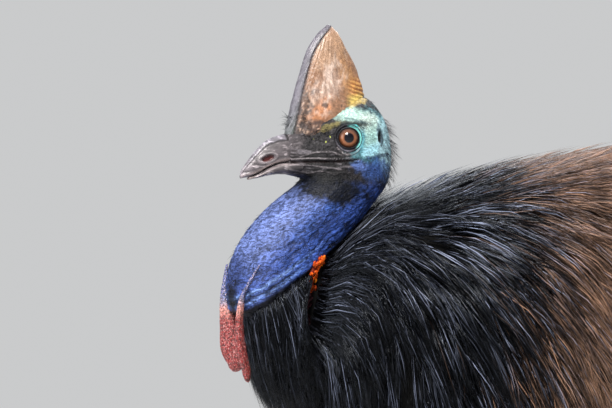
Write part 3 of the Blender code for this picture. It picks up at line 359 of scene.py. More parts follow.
def tube_piece(name, grids, kind, tints=None, tip=None, hoop=False):
    """One object of closed tubes. Each grid of points (rows, columns, 3) gets an end point at each end, at
    the middle of its first and last ring or at the tip given, but a hoop's rows join up instead. Tubes that
    come out inside out are turned round."""
    points, faces, colours, count = [], [], [], 0
    for k, grid in enumerate(grids):
        rows, columns = grid.shape[:2]
        flat, parts = grid.reshape(-1, 3), [grid_faces(rows, columns, hoop)]
        if not hoop:
            flat = np.vstack([flat, grid[0].mean(0), grid[-1].mean(0) if tip is None else tip])
            parts.append(fan_faces(rows, columns))
        a, b, c = (flat[parts[0][:, i]] - flat.mean(0) for i in (0, 1, 2))
        if np.einsum("ij,ij->i", a, np.cross(b, c)).sum() < 0:
            parts = [part[:, ::-1] for part in parts]
        faces += [part + count for part in parts]
        points.append(flat)
        if tints is not None:
            ends = [] if hoop else [tints[k][0].mean(0), tints[k][-1].mean(0)]
            colours.append(np.vstack([tints[k].reshape(-1, 3), *ends]))
        count += len(flat)
    return mesh_piece(name, placed(np.vstack(points)), faces, kind, np.vstack(colours) if colours else None)


def spine_piece(name, slot, rings, tips, tint, uv, turned=False):
    """One piece of thin closed spines: three-sided rings (spine, step, corner, 3) from root to tip, and
    a point at each tip. turned is for rings that go the other way round."""
    count, steps = rings.shape[:2]
    quads, last = grid_faces(steps, 3), 3 * (steps - 1)
    ends = np.array([[last + s, last + (s + 1) % 3, last + 3] for s in range(3)] + [[2, 1, 0]])
    if turned:
        quads, ends = np.roll(quads[:, ::-1], 1, axis=1), ends[:, [0, 2, 1]]
    points = np.concatenate([rings.reshape(count, -1, 3), tips[:, None]], axis=1)
    offset = (np.arange(count) * points.shape[1])[:, None, None]
    faces = [(part[None] + offset).reshape(-1, part.shape[1]) for part in (quads, ends)]
    return finished(mesh_piece(name, placed(points.reshape(-1, 3)), faces, "feather", tint, uv), slot)


def finished(piece, slot, *nodes):
    """Makes a piece ride with the bird and stand for the nodes that it replaces, which it hides. slot is not
    used.
    """
    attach(piece, "root")
    if nodes:
        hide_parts(*nodes)
    return piece


def normals_of(grid):
    """The unit normal at each point of a grid whose columns go round: the cross product of its two slopes,
    turned away from the axis that runs through the middles of the rows."""
    around = (np.roll(grid, -1, axis=1) - np.roll(grid, 1, axis=1)) / 2
    normal = unit(np.cross(np.gradient(grid, axis=0), around))
    return normal * np.sign((normal * (grid - grid.mean(1, keepdims=True))).sum())


# Finishes


def start_finish(name, roughness, **sockets):
    """A new material: its node tree and its shader, with constant values set on the shader's own sockets."""
    made = bpy.data.materials.new(name)
    made.use_nodes = True
    shader = made.node_tree.nodes["Principled BSDF"]
    shader.inputs["Roughness"].default_value = roughness
    for socket, value in sockets.items():
        shader.inputs[socket.replace("_", " ").title().replace("Ior", "IOR")].default_value = value
    return made, made.node_tree, shader


def add(tree, kind, inputs=None, **settings):
    """Adds a node, gives it settings, and sets or links its inputs."""
    node = tree.nodes.new("ShaderNode" + kind)
    for key, value in settings.items():
        setattr(node, key, value)
    for key, value in (inputs or {}).items():
        if isinstance(value, bpy.types.NodeSocket):
            tree.links.new(value, node.inputs[key])
        else:
            node.inputs[key].default_value = value
    return node


def object_place(tree, stretch=(1, 1, 1), turn=(0, 0, 0)):
    """Object coordinates, turned and stretched."""
    place = add(tree, "TexCoord").outputs["Object"]
    return add(tree, "Mapping", {"Vector": place, "Rotation": turn, "Scale": stretch}).outputs["Vector"]


def drawn_out(tree, place, stretch, lean):
    """A place measured along axes that lean by an angle about the X axis, divided by a stretch along
    each."""
    inputs = {"Vector": place, "Rotation": (lean, 0, 0), "Scale": stretch}
    return add(tree, "Mapping", inputs, vector_type="TEXTURE").outputs["Vector"]


def warped(tree, place, amount, scale):
    """A place pushed aside by layered noise, up to half the amount each way."""
    push = add(tree, "TexNoise", {"Vector": place, "Scale": scale, "Detail": 2.0}).outputs["Color"]
    push = add(tree, "VectorMath", {0: push, 1: (0.5, 0.5, 0.5)}, operation="SUBTRACT").outputs[0]
    push = add(tree, "VectorMath", {0: push, "Scale": amount}, operation="SCALE").outputs[0]
    return add(tree, "VectorMath", {0: place, 1: push}, operation="ADD").outputs[0]


def noise(tree, place, scale, detail=4.0):
    """Layered noise, as a number near 0.5."""
    return add(tree, "TexNoise", {"Vector": place, "Scale": scale, "Detail": detail}).outputs["Fac"]


def cells(tree, place, scale, feature="F1"):
    """Distance to the nearest of a scatter of points, or to the border between their cells."""
    return add(tree, "TexVoronoi", {"Vector": place, "Scale": scale}, feature=feature).outputs["Distance"]


def spread(tree, value, low, high, new_low, new_high):
    """Maps a value from one range to another and holds it there."""
    inputs = {"Value": value, "From Min": low, "From Max": high, "To Min": new_low, "To Max": new_high}
    return add(tree, "MapRange", inputs).outputs["Result"]


def mixed(tree, share, first, second, blend="MIX"):
    """A mix of two colours."""
    node = add(tree, "Mix", data_type="RGBA", blend_type=blend)
    for socket, value in ((node.inputs[0], share), (node.inputs[6], first), (node.inputs[7], second)):
        if isinstance(value, bpy.types.NodeSocket):
            tree.links.new(value, socket)
        else:
            socket.default_value = value if isinstance(value, float) else (*value, 1.0)
    return node.outputs[2]


def grey(tree, value):
    """A number as a grey colour."""
    return add(tree, "CombineColor", {"Red": value, "Green": value, "Blue": value}).outputs["Color"]


def tint_of(tree):
    """The colour painted on the points."""
    return add(tree, "Attribute", attribute_name="tint").outputs["Color"]


def toned(tree, colour, value, low, high, dark, light):
    """A colour made darker or lighter as a value runs from low to high."""
    return mixed(tree, 1.0, colour, grey(tree, spread(tree, value, low, high, dark, light)), "MULTIPLY")


def domed(tree, distance):
    """Heights that turn the distance to the nearest of a scatter of points into low domes round them."""
    return spread(tree, distance, 0.0, 0.9, 1.0, 0.0)


def end_finish(tree, shader, colour, roughness=None, heights=()):
    """Links a colour, a roughness and a chain of bumps to the shader. heights holds (value, distance,
    strength) from coarse to fine."""
    links = [(colour, "Base Color")]
    if roughness is not None:
        links.append((roughness, "Roughness"))
    bump = {}
    for value, distance, strength in heights:
        inputs = {"Height": value, "Distance": distance, "Strength": strength, **bump}
        bump = {"Normal": add(tree, "Bump", inputs).outputs["Normal"]}
    for value, socket in links + [(normal, "Normal") for normal in bump.values()]:
        tree.links.new(value, shader.inputs[socket])


def skin_finish():
    """Bare skin: painted colour, broken into wrinkles some 3 mm apart, pebbles about 1.5 mm across and finer
    grain. On the neck, marked by its own attribute, the wrinkles are longer and run up towards the nape."""
    made, tree, shader = start_finish("bare_skin", 0.46, specular_ior_level=0.20)
    place = object_place(tree)
    swayed = warped(tree, place, 0.007, 70.0)
    neck, horny = (add(tree, "Attribute", attribute_name=name).outputs["Fac"] for name in ("neck", "horny"))
    long_lines = noise(tree, drawn_out(tree, swayed, (2.8, 2.8, 1.0), math.radians(20)), 540.0, 2.0)
    short_lines = noise(tree, drawn_out(tree, swayed, (1.0, 2.4, 1.0), 0.0), 560.0, 3.0)
    tones = (spread(tree, short_lines, 0.38, 0.62, 0.70, 1.24),
             spread(tree, long_lines, 0.41, 0.59, 0.46, 1.40))
    lines, tones = (add(tree, "Mix", {0: neck, 2: on_head, 3: on_neck}, data_type="FLOAT").outputs[0]
                    for on_head, on_neck in ((short_lines, long_lines), tones))
    pebbles, fine = cells(tree, place, 620.0), noise(tree, place, 1500.0, 3.0)
    colour = mixed(tree, 1.0, tint_of(tree), grey(tree, tones), "MULTIPLY")
    colour = toned(tree, colour, pebbles, 0.15, 0.85, 1.15, 0.75)
    colour = toned(tree, colour, noise(tree, place, 1000.0, 2.0), 0.56, 0.68, 1.0, 1.7)
    colour = mixed(tree, horny, colour, tint_of(tree))
    end_finish(tree, shader, colour, spread(tree, fine, 0.3, 0.7, 0.40, 0.62),
               [(lines, 0.0016, 0.8), (domed(tree, pebbles), 0.0005, 0.6), (fine, 0.0002, 0.5)])
    return made


def casque_finish():
    """Old horn: painted colour under soft swirls and short, curling scratches, with a gloss that is worn in
    patches."""
    made, tree, shader = start_finish("casque_horn", 0.4, coat_weight=0.12, coat_roughness=0.3)
    place = object_place(tree)
    swirls = noise(tree, drawn_out(tree, warped(tree, place, 0.016, 50.0), (1.0, 1.0, 2.2), 0.2), 120.0)
    curls = noise(tree, drawn_out(tree, warped(tree, place, 0.008, 160.0), (1.0, 1.0, 1.5), 0.1), 620.0, 3.0)
    colour = toned(tree, tint_of(tree), swirls, 0.32, 0.68, 0.80, 1.18)
    end_finish(tree, shader, toned(tree, colour, curls, 0.36, 0.64, 0.76, 1.20),
               spread(tree, swirls, 0.3, 0.7, 0.28, 0.52),
               [(swirls, 0.0012, 0.3), (curls, 0.0006, 0.6), (noise(tree, place, 1100.0), 0.0002, 0.4)])
    return made


def horn_finish(name, roughness, streak_scale, stretch, turn):
    """Horn: painted colour with fine fibres drawn out along it, shallow scratches and a dull sheen."""
    made, tree, shader = start_finish(name, roughness, coat_weight=0.12, coat_roughness=0.3)
    place = object_place(tree)
    fibres = noise(tree, object_place(tree, stretch, turn), streak_scale, 5.0)
    grain, blotches = noise(tree, place, 900.0), noise(tree, place, 90.0, 3.0)
    colour = toned(tree, tint_of(tree), fibres, 0.3, 0.7, 0.62, 1.38)
    end_finish(tree, shader, toned(tree, colour, blotches, 0.3, 0.7, 0.82, 1.18),
               spread(tree, grain, 0.3, 0.7, roughness - 0.10, roughness + 0.16),
               [(blotches, 0.0010, 0.25), (fibres, 0.0005, 0.6), (grain, 0.0002, 0.4)])
    return made


def eye_finish():
    """A wet eye: painted rings under a clear, smooth coat."""
    made, tree, shader = start_finish("wet_eye", 0.3, specular_ior_level=0.05, coat_weight=0.6,
                                      coat_roughness=0.03)
    flecks = noise(tree, object_place(tree), 1800.0, 3.0)
    end_finish(tree, shader, toned(tree, tint_of(tree), flecks, 0.3, 0.7, 0.8, 1.2))
    return made


def wattle_finish():
    """Wattle skin: red with pale granules about 1 mm across, each a low bump."""
    made, tree, shader = start_finish("wattle_skin", 0.5, specular_ior_level=0.4, subsurface_weight=0.08,
                                      subsurface_scale=0.004)
    place = object_place(tree)
    patches, fine = noise(tree, place, 460.0), noise(tree, place, 1200.0, 2.0)
    colour = mixed(tree, spread(tree, fine, 0.56, 0.64, 0.0, 0.80), tint_of(tree), linear(220, 186, 182))
    end_finish(tree, shader, toned(tree, colour, patches, 0.40, 0.58, 0.26, 1.15), None,
               [(patches, 0.0010, 0.5), (domed(tree, cells(tree, place, 700.0)), 0.0006, 0.8),
                (fine, 0.0002, 0.5)])
    return made


def feather_finish():
    """Hair-like feathers: the painted near-black of each strand, with a bluish gloss along it."""
    made, tree, shader = start_finish("black_plumage", 0.28, specular_ior_level=0.27)
    shader.inputs["Specular Tint"].default_value = (0.80, 0.87, 1.0, 1.0)
    place = object_place(tree)
    wear, gloss = noise(tree, place, 30.0, 1.0), noise(tree, place, 50.0)
    end_finish(tree, shader, toned(tree, tint_of(tree), wear, 0.3, 0.7, 0.55, 1.5),
               spread(tree, gloss, 0.3, 0.7, 0.20, 0.38))
    return made


def scale_finish():
    """Leg skin: many-sided scales about 5 mm across with dark seams between, raised in low domes, in two
    tones mixed in broad patches.
    """
    made, tree, shader = start_finish("leg_scales", 0.55, specular_ior_level=0.4)
    place = object_place(tree, (1.0, 1.0, 0.8))
    seams, domes = cells(tree, place, 210.0, "DISTANCE_TO_EDGE"), domed(tree, cells(tree, place, 210.0))
    broad, fine = noise(tree, place, 40.0), noise(tree, place, 1200.0, 3.0)
    colour = mixed(tree, spread(tree, broad, 0.3, 0.7, 0.0, 1.0), linear(112, 106, 96), linear(146, 138, 122))
    colour = mixed(tree, spread(tree, seams, 0.0, 0.10, 0.85, 0.0), colour, linear(52, 48, 44))
    end_finish(tree, shader, colour, spread(tree, fine, 0.3, 0.7, 0.45, 0.7),
               [(spread(tree, seams, 0.0, 0.12, 0.0, 1.0), 0.0010, 0.8), (domes, 0.0006, 0.4),
                (fine, 0.0002, 0.5)])
    return made


def plain_finish(name, colour, roughness, grain):
    """A matt surface with a faint grain in its colour and relief."""
    made, tree, shader = start_finish(name, roughness)
    speckle = noise(tree, object_place(tree), grain)
    low, high = colour * 0.96, np.minimum(colour * 1.04, 1)
    end_finish(tree, shader, mixed(tree, spread(tree, speckle, 0.3, 0.7, 0.0, 1.0), low, high), None,
               [(speckle, 0.0004, 0.3)])
    return made


FINISH_MAKERS = {
    "skin": skin_finish,
    "casque": casque_finish,
    "bill": lambda: horn_finish("bill_horn", 0.42, 260.0, (1.0, 0.20, 1.0), (math.radians(-35), 0, 0)),
    "claw": lambda: horn_finish("claw_horn", 0.38, 220.0, (1.0, 0.2, 1.0), (0, 0, 0)),
    "quill": lambda: horn_finish("quill_horn", 0.34, 300.0, (1.0, 0.1, 1.0), (0, 0, 0)),
    "eye": eye_finish,
    "wattle": wattle_finish,
    "feather": feather_finish,
    "scale": scale_finish,
    "under": lambda: plain_finish("under_plumage", linear(4, 4, 5), 1.0, 300.0),
    "floor": lambda: plain_finish("studio_floor", linear(214, 214, 212), 0.85, 2.2),
}
_finishes = {}


def finish(kind):
    """The material of that kind, made once."""
    if kind not in _finishes:
        _finishes[kind] = FINISH_MAKERS[kind]()
    return _finishes[kind]


# Skin of the head and neck


def ladder_points(rungs, turns, grow=0.0):
    """A grid of points on the ladder: at each rung, a rounded oval with the power LADDER_POWER whose long
    axis runs from the nape to the throat."""
    row = smooth(rungs, np.arange(len(LADDER)), LADDER)
    nape, throat = (np.stack([0 * rungs, row[:, k], row[:, k + 1]], axis=1) for k in (0, 2))
    half = np.linalg.norm(nape - throat, axis=1)[:, None] / 2 + grow
    return ovals((nape + throat) / 2, ACROSS, unit(nape - throat)[:, None], row[:, 4:] + grow, half, turns,
                 2 / LADDER_POWER)


def from_eye(points):
    """Millimetres behind and above the eye, for someone at the bird's side and a little ahead of it. Both
    sides of the bird are read alike."""
    behind = (math.sin(VIEW_AZIMUTH) * (points[..., 1] - EYE_CENTRE[1])
              + math.cos(VIEW_AZIMUTH) * (np.abs(points[..., 0]) - EYE_CENTRE[0]))
    return 1000 * behind, 1000 * (points[..., 2] - EYE_CENTRE[2])


def spot(points, behind, above, half_long, half_high, turn=0.0, soft=0.45, ragged=0.22, seed=5):
    """How strongly each point lies in an oval patch, from 0 to 1, with soft and ragged edges. The patch's
    place and half sizes are in millimetres from the eye, and turn raises its rear end, in degrees."""
    u, v = from_eye(points)
    c, s = math.cos(math.radians(turn)), math.sin(math.radians(turn))
    a = ((u - behind) * c + (v - above) * s) / half_long
    b = (-(u - behind) * s + (v - above) * c) / half_high
    edge = np.hypot(a, b) + ragged * layered(points, 0.005, seed)
    return ease((1 + soft / 2 - edge) / soft)


def patched(points, tint, patches, grain, seed):
    """Lays a table's patches over a tint in turn, each colour made lighter and darker by a grain."""
    for *oval, strength, colour in patches:
        tint = blended(tint, linear(*colour) * (1 + grain)[..., None], spot(points, *oval, seed) * strength)
    return tint


def over_ruff(points):
    """How far each point is over the plane where bare skin ends."""
    return (points - RUFF_POINT) @ RUFF_OUT


def eye_axes(side):
    """The centre of an eye, the way that it looks, and the ways to the rear and up across its face."""
    centre = EYE_CENTRE * (side, 1, 1)
    look = unit([side * math.cos(EYE_TURN), -math.sin(EYE_TURN), EYE_RISE])
    rear = unit(np.cross(UP, look)) * side
    return centre, look, rear, np.cross(look, rear) * side


def head_share(rungs):
    """1 on the head and 0 on the neck, for each row of the skin."""
    return ease((HEAD_RUNGS + 0.2 - rungs) / 0.8)[:, None]


def skin_relief(points, rungs):
    """Height of the skin over the plain ladder, in metres: brow, cheek and jaw folds, creases that run with
    the edge of the plumage, and fine bumps."""
    u, v = from_eye(points)
    over = over_ruff(points)
    head = head_share(rungs)
    neck = 1 - head
    warp = 0.004 * layered(points, 0.018, 11)
    crease_place = np.stack([points[..., 0], points @ RUFF_ALONG, over + warp], axis=-1)
    low_neck = ease((0.085 - over) / 0.07)
    pleats = np.abs(lattice(crease_place, (0.02, 0.030, 0.0070), 25))
    height = neck * (0.0007 * low_neck + 0.0004) * layered(crease_place, (0.012, 0.014, 0.0030), 21, 2)
    height -= neck * 0.0012 * low_neck * ease((0.16 - pleats) / 0.16)
    height += neck * (1.2 - low_neck) * 0.00035 * layered(points, 0.0030, 31, 2)
    height += 0.0010 * layered(points, 0.024, 37, 2) * neck
    height += head * sum(high * spot(points, *oval, 0.9, 0.0) for high, oval in FACE_FOLDS)
    face_folds = lattice(np.stack([points[..., 0], u / 1000, v / 1000 + 0.10 * u / 1000 + warp], axis=-1),
                         (0.03, 0.030, 0.0032), 41)
    height += 0.0008 * face_folds * ease((2 - v) / 10) * ease((30 - u) / 14) * head
    return height + head * 0.00022 * layered(points, 0.0024, 47, 2)


# Broad folds of the face: height, and an oval's place, half sizes and turn in millimetres and degrees
FACE_FOLDS = (
    (0.0014, (-4, 19, 24, 5.0, 8)),  # brow
    (0.0012, (-22, -12, 16, 7.0, -8)),  # cheek
    (0.0012, (-14, -37, 34, 5.5, 4)),  # jaw
    (-0.0016, (-34, 4, 15, 8.0, 10)),  # hollow before the eye
)

# Ridges of skin from the bill to the gape, in millimetres behind and above the eye
FACE_RIDGES = (
    ((-54, -21.6), (-42, -17.4), (-30, -16.0), (-17, -16.2), (-6, -19.4), (12, -19.0)),
    ((-66, -24.3), (-52, -23.3), (-40, -23.0), (-27, -23.4), (-15, -24.0), (14, -25.2)),
    ((-68, -31.2), (-56, -30.8), (-44, -31.2), (-32, -32.2), (-20, -34.0), (-8, -36.4)),
    ((-66, -36.2), (-54, -38.0), (-44, -39.6), (-34, -37.6), (-26, -38.4), (-14, -42.0)),
    ((-12, -10.8), (-8, -15.0), (-2, -18.0), (4, -18.2), (10, -16.2), (14, -12.0)),
)


def stroke(points, line, half_wide):
    """1 along a line drawn on the side of the head in millimetres from the eye, that fades to both sides and
    is broken here and there."""
    u, v = from_eye(points)
    path = smooth(np.linspace(0, 1, 40), np.linspace(0, 1, len(line)), np.array(line, float))
    seen = (v > -60) & (v < 5) & (u < 30)
    place = np.stack([u[seen], v[seen]], axis=1)
    far = np.sqrt(((place[:, None] - path[None]) ** 2).sum(-1).min(1))
    value = np.zeros(u.shape)
    value[seen] = peak(far, 0, half_wide) * (0.65 + 0.55 * lattice(points[seen], 0.005, 83))
    return value


def mouth_relief(points):
    """Height of the mouth's line: a groove from the bill back to the gape, between low lips."""
    f = (points[..., 1] - MOUTH["front"]) / (MOUTH["rear"] - MOUTH["front"])
    middle = MOUTH["front_z"] + f * (MOUTH["rear_z"] - MOUTH["front_z"])
    off = points[..., 2] - middle + 0.0012 * np.sin(np.clip(f, 0, 1) * math.pi)
    there = ease((1.02 - f) / 0.12) * ease((f + 0.25) / 0.1) * (np.abs(points[..., 0]) > 0.008)
    groove = peak(off, 0, MOUTH["half_wide"])
    lips = peak(np.abs(off), 0.0030, 0.0011) + 0.7 * peak(off, -0.0080, 0.0013)
    lips += 0.6 * peak(off, 0.0078, 0.0012)
    return there * (MOUTH["lip"] * lips - MOUTH["deep"] * groove), there * groove


# Patches of colour on the side of the head, in millimetres behind and above the eye. Columns: behind, above,
# half length, half height, turn of the rear end upwards in degrees, softness, raggedness, strength, colour.
FACE = (
    (24, 2, 27, 30, 0, 0.6, 0.30, 1.00, (84, 138, 148)),  # teal of the rear of the head
    (12, 22, 31, 11, -22, 1.0, 0.35, 1.00, (160, 190, 180)),  # pale green over the eye
    (24, 17, 12, 12, -30, 0.9, 0.30, 0.90, (188, 206, 198)),  # its palest part
    (29, 2, 9, 16, -10, 0.9, 0.30, 0.80, (150, 186, 180)),  # in front of the ear
    (16, 0, 4, 14, -6, 0.8, 0.30, 0.70, (76, 138, 150)),  # crescent behind the eye
    (29, -15, 13, 7, 15, 0.8, 0.40, 0.95, (152, 200, 214)),  # cheek
    # The pale nape is partly its own colour and partly painted light, made paler for light on the rear edge.
    (45, -12, 9, 32, 6, 0.8, 0.30, 0.95, (170, 210, 222)),  # nape
    (34, -21, 16, 2.6, 12, 0.9, 0.50, 0.80, (26, 38, 66)),  # line behind the gape
    (36, -37, 18, 14, 0, 0.8, 0.50, 0.80, (54, 82, 142)),  # under the ear
    (14, -32, 9, 7, 10, 0.8, 0.60, 0.85, (76, 96, 150)),  # behind the gape
    # Painted shade: a dark ring round the ear opening.
    (38, 3, 3.0, 11, 12, 0.7, 0.30, 0.90, (28, 46, 62)),  # round the ear
    (2, 15.5, 22, 3.6, 2, 0.8, 0.60, 0.90, (30, 31, 34)),  # brow
    (6, 21, 17, 1.6, -12, 0.9, 0.60, 0.60, (70, 96, 104)),  # upper brow
    (13, 42, 12, 3.4, 20, 0.9, 0.90, 0.55, (200, 172, 96)),  # yellow at the foot of the casque
    (-24, 12, 14, 3, 22, 0.8, 0.90, 0.50, (140, 128, 74)),  # yellow-green before the brow
)


def horny_share(points):
    """How far the skin has turned to horn: none at the eye, all of it where the bill leaves the face."""
    u, v = from_eye(points)
    return ease((-43 - u + 0.15 * v + 4 * layered(points, 0.010, 61)) / 11)


def with_ridges(points, height, tint, share):
    """Adds the pale ridges at the mouth, and the dark grooves under them, to the relief and the colour: in
    the colour, a painted highlight along each ridge and painted shade in each groove.
    """
    for line in FACE_RIDGES:
        ridge, groove = stroke(points, line, 0.65), stroke(points, np.subtract(line, (0, 1.8)), 1.1)
        height = height + share * 0.0007 * (ridge - 0.9 * groove)
        # Painted shade in the groove under each ridge, and a painted highlight along the ridge.
        tint = painted(tint, ((6, 5, 6), np.clip(groove * share, 0, 1) * 0.9),
                       ((186, 176, 180), np.clip(ridge * share, 0, 1) * 0.75))
    return height, tint


def bill_tone(points):
    """The bill's dark horn with pale streaks that run along it, darker towards the face."""
    streaks = ease(layered(points * (1, 0.35, 1), 0.0024, 13) * 2 - 0.2)
    near_face = ease((points[..., 1] + 0.432) / 0.030)
    return painted(all_over(points, (80, 74, 77)), ((176, 166, 170), streaks * (0.85 - 0.35 * near_face)),
                   ((34, 31, 33), 0.65 * ease((points[..., 1] + 0.422) / 0.020)))


def neck_colours(points, turns, ragged):
    """Blues of the neck: bands that run down it from the nape to the front, darker at the edge of the
    plumage. The bands are partly the neck's own blues and partly painted light: paler on the front, where the
    light falls, and darker on the nape, in shade. Over the edge of the plumage, pale lines and a dark line
    are painted highlights and shade, the recesses by the wattles are painted dark as shade, and the skin that
    runs under the plumage is painted near-black as shade under it."""
    over = over_ruff(points)
    share = np.abs(turns)[None, :] / math.pi * np.ones(points.shape[:2])
    tint = np.broadcast_to(user_colour("neck"), points.shape)
    # Painted light: the paler front blue where the light falls and the darker nape blue in shade, over the
    # neck's own cobalt.
    tint = blended(tint, user_colour("neck_front"), ease((share + 0.10 * ragged - 0.44) / 0.30))
    tint = blended(tint, user_colour("nape"), ease((0.40 - share + 0.06 * ragged) / 0.22) * 0.9)
    tint = painted(tint, ((44, 66, 132), ease((0.060 - over + 0.01 * ragged) / 0.040) * 0.75))
    # Painted highlights and shade, on the lit front of the neck only: two pale lines with a dark line
    # between, just over the plumage.
    pale, dark = (104, 130, 182), (16, 24, 40)
    for level, colour, strength in ((0.0125, pale, 0.8), (0.0072, dark, 0.9), (0.0040, pale, 0.6)):
        line = peak(over - 0.002 * ragged, level, 0.0017) * ease((share - 0.35) / 0.2)
        tint = painted(tint, (colour, line * strength))
    # Painted shade: dark patches in the recess between the wattles and in the groove by the near wattle, and
    # near-black under the plumage.
    return painted(tint, ((8, 12, 22), spot(points, -135, -184, 7.5, 26, 6, 0.7) * 0.95),
                   ((22, 34, 74), spot(points, -128, -152, 8, 20, -18, 1.2) * 0.7),
                   ((10, 12, 24), ease((0.003 - over) / 0.006)))


def skin_colours(points, turns, mouth):
    """Painted colours of the bare skin: on the head a dark, gritty ground under soft, ragged patches round
    the eye, folds and ridges below it and the mouth's line, with the neck's blues under a black throat. The
    folds below the eye are painted light and shade, and the black of the throat is partly its own colour and
    partly painted shade under the jaw."""
    u, v = from_eye(points)
    ragged, grit = layered(points, 0.010, 61), layered(points, 0.0017, 67, 2)
    folds = lattice(np.stack([u / 9, (v + 0.10 * u) / 1.9], axis=-1), 1.0, 71)
    below_eye = ease((-11 - v) / 4) * ease((v + 42) / 8) * ease((16 - u) / 12)
    specks = (lattice(points, 0.0016, 81) > 0.80) * spot(points, -26, 3, 13, 8, 20, 0.8, 0.2)
    head = all_over(points, (40, 38, 40)) * np.maximum(1 + 1.9 * grit, 0.15)[..., None]
    head = blended(head, bill_tone(points), horny_share(points))
    head = painted(patched(points, head, FACE, 0.24 * grit, 5),
                   ((30, 29, 32), spot(points, 0, 0, 17.5, 15.5, 0, 0.3, 0.10) * ease((14 - u) / 8)),
                   # Painted light and shade: pale crests and dark creases of folds under the eye, which exist
                   # only in the colour.
                   ((126, 120, 126), ease(folds * 2 - 0.5) * below_eye * 0.6),
                   ((14, 13, 14), ease(-folds * 2 - 0.2) * below_eye * 0.85))
    head = painted(with_ridges(points, 0, head, 1.0)[1], ((26, 8, 8), mouth), ((196, 204, 92), specks * 0.8))
    below = ease((-46 - v + 5 * ragged - 0.10 * u) / 12)[..., None]
    # The black throat is partly the skin's own black and partly painted shade under the jaw.
    throat = spot(points, -20, -57, 44, 17, -8, 0.8, 0.5)
    tint = head * (1 - below) + neck_colours(points, turns, ragged) * below
    return painted(tint, ((6, 7, 9), throat * 0.97))


def along_and_off(away, way):
    """How far each point is along a way of length 1, and how far off the line that it runs on."""
    along = away @ way
    return along, np.linalg.norm(away - along[..., None] * way, axis=-1)


def skin_grid():
    """The bare skin as a grid, with its sockets, ears, mouth and relief, and its painted colours, on the neck
    with painted light and shade that follow the relief, and with painted shade in the ear openings.
    """
    rungs = np.concatenate([np.linspace(0, HEAD_RUNGS, HEAD_ROWS)[:-1],
                            np.linspace(HEAD_RUNGS, len(LADDER) - 1, NECK_ROWS)])
    turns = (np.arange(SKIN_COLUMNS) / SKIN_COLUMNS - 0.5) * TAU
    points = ladder_points(rungs, turns)
    normals = normals_of(points)
    mouth_height, mouth = mouth_relief(points)
    tint = skin_colours(points, turns, mouth)
    relief = with_ridges(points, skin_relief(points, rungs), tint, head_share(rungs))[0]
    depth = -over_ruff(points)
    under_coat = 0.0030 * ease(depth / 0.008) + 0.30 * np.clip(depth - 0.004, 0, 0.05)
    neck = ease((-52 - from_eye(points)[1]) / 14)
    # Painted light and shade on the neck: the colour is lighter where the relief rises and darker where it
    # sinks.
    tint = tint * np.clip(1 + neck * 0.30 * np.clip(relief / 0.0008, -1.6, 1.2), 0.3, 1.6)[..., None]
    points = points + normals * (relief + mouth_height - under_coat)[..., None]
    for side in SIDES.values():
        centre, look = eye_axes(side)[:2]
        out, reach = along_and_off(points - centre, look)
        inside = (out > 0) * ease((LID_REACH - 0.0010 - reach) / 0.0045)
        points = points - look * (SOCKET_DEEP * inside)[..., None]
        ear = ladder_points(np.array([EAR["rung"]]), np.array([EAR["around"] * side]))[0, 0]
        lift, off = along_and_off(points - ear, unit(EAR["way"]))
        edge = np.hypot(np.abs(lift) / EAR["long"], off / EAR["wide"])
        sink = -EAR["deep"] * ease((1.0 - edge) / 0.5) + EAR["rim"] * peak(edge, 1.25, 0.25)
        points = points + normals * sink[..., None]
        # Painted shade in the sunk ear opening.
        tint = painted(tint, ((12, 14, 20), ease((1.05 - edge) / 0.4)))
    return points, tint, neck


def eyelids(side, skin):
    """A ring of folded skin round an eye: for each turn round the opening, a profile from the wet margin on
    the eyeball, over the lid's rounded rim and its creases, out to the skin of the head."""
    centre, look, rear, up = eye_axes(side)
    theta, steps = circle(128), np.linspace(0, 1, 26)
    cosine, sine = np.cos(theta), np.sin(theta)
    opening = LID_OPENING * (1 - 0.045 * sine**2 + 0.05 * cosine * (cosine > 0))
    reach = opening[None, :] + (LID_REACH - opening)[None, :] * steps[:, None]
    flat = skin.reshape(-1, 3) - centre
    out, off = along_and_off(flat, look)
    near = (out > 0) & (off < 0.026)
    across_up = np.stack([flat[near] @ rear, flat[near] @ up], axis=1)
    rim = np.stack([cosine, sine], axis=1) * LID_REACH
    skin_out = out[near][((rim[:, None] - across_up[None]) ** 2).sum(-1).argmin(1)]
    skin_out = np.convolve(np.concatenate([skin_out[-6:], skin_out, skin_out[:6]]), np.ones(13) / 13, "valid")
    margin = np.sqrt(EYE_RADIUS**2 - opening**2)
    fold = sum(high * peak(steps, middle, width) for high, middle, width in LID_FOLDS)
    lower = 0.75 + 0.35 * ease(0.5 - sine)[None, :]
    height = (margin + (skin_out - margin) * ease(steps)[:, None]) + fold[:, None] * lower
    height[[0, -1]] -= 0.0022
    wrinkle = layered(np.stack([theta * 9 + 0 * reach, reach * 900], axis=-1), 1.0, 91, 2)
    height = height + 0.00022 * wrinkle * np.sin(steps * math.pi)[:, None]
    aside = (rear * cosine[:, None] + up * sine[:, None]) * reach[..., None]
    grid = centre + look * height[..., None] + aside
    back = centre + look * (height[-1:, :, None] - 0.004) + aside[-1:] * 0.9
    grid = np.concatenate([grid, back, grid[:1] * 0.5 + back * 0.5])
    f = np.concatenate([steps, [1, 1]])[:, None] * np.ones(len(theta))
    behind = ease((cosine + 0.35 * sine - 0.15) / 0.5)[None, :]
    under = ease((-sine - 0.1) / 0.4)[None, :] * ease((0.5 - cosine) / 0.6)[None, :]
    return grid, painted(
        all_over(grid, (40, 40, 45)),
        ((10, 9, 10), ease((0.14 - f) / 0.10)),
        ((128, 206, 200), behind * ease((f - 0.20) / 0.12) * ease((0.62 - f) / 0.15) * 0.85),
        ((86, 168, 170), behind * ease((f - 0.62) / 0.2)),
        ((104, 102, 112), under * peak(f, 0.55, 0.14) * 0.8),
    )


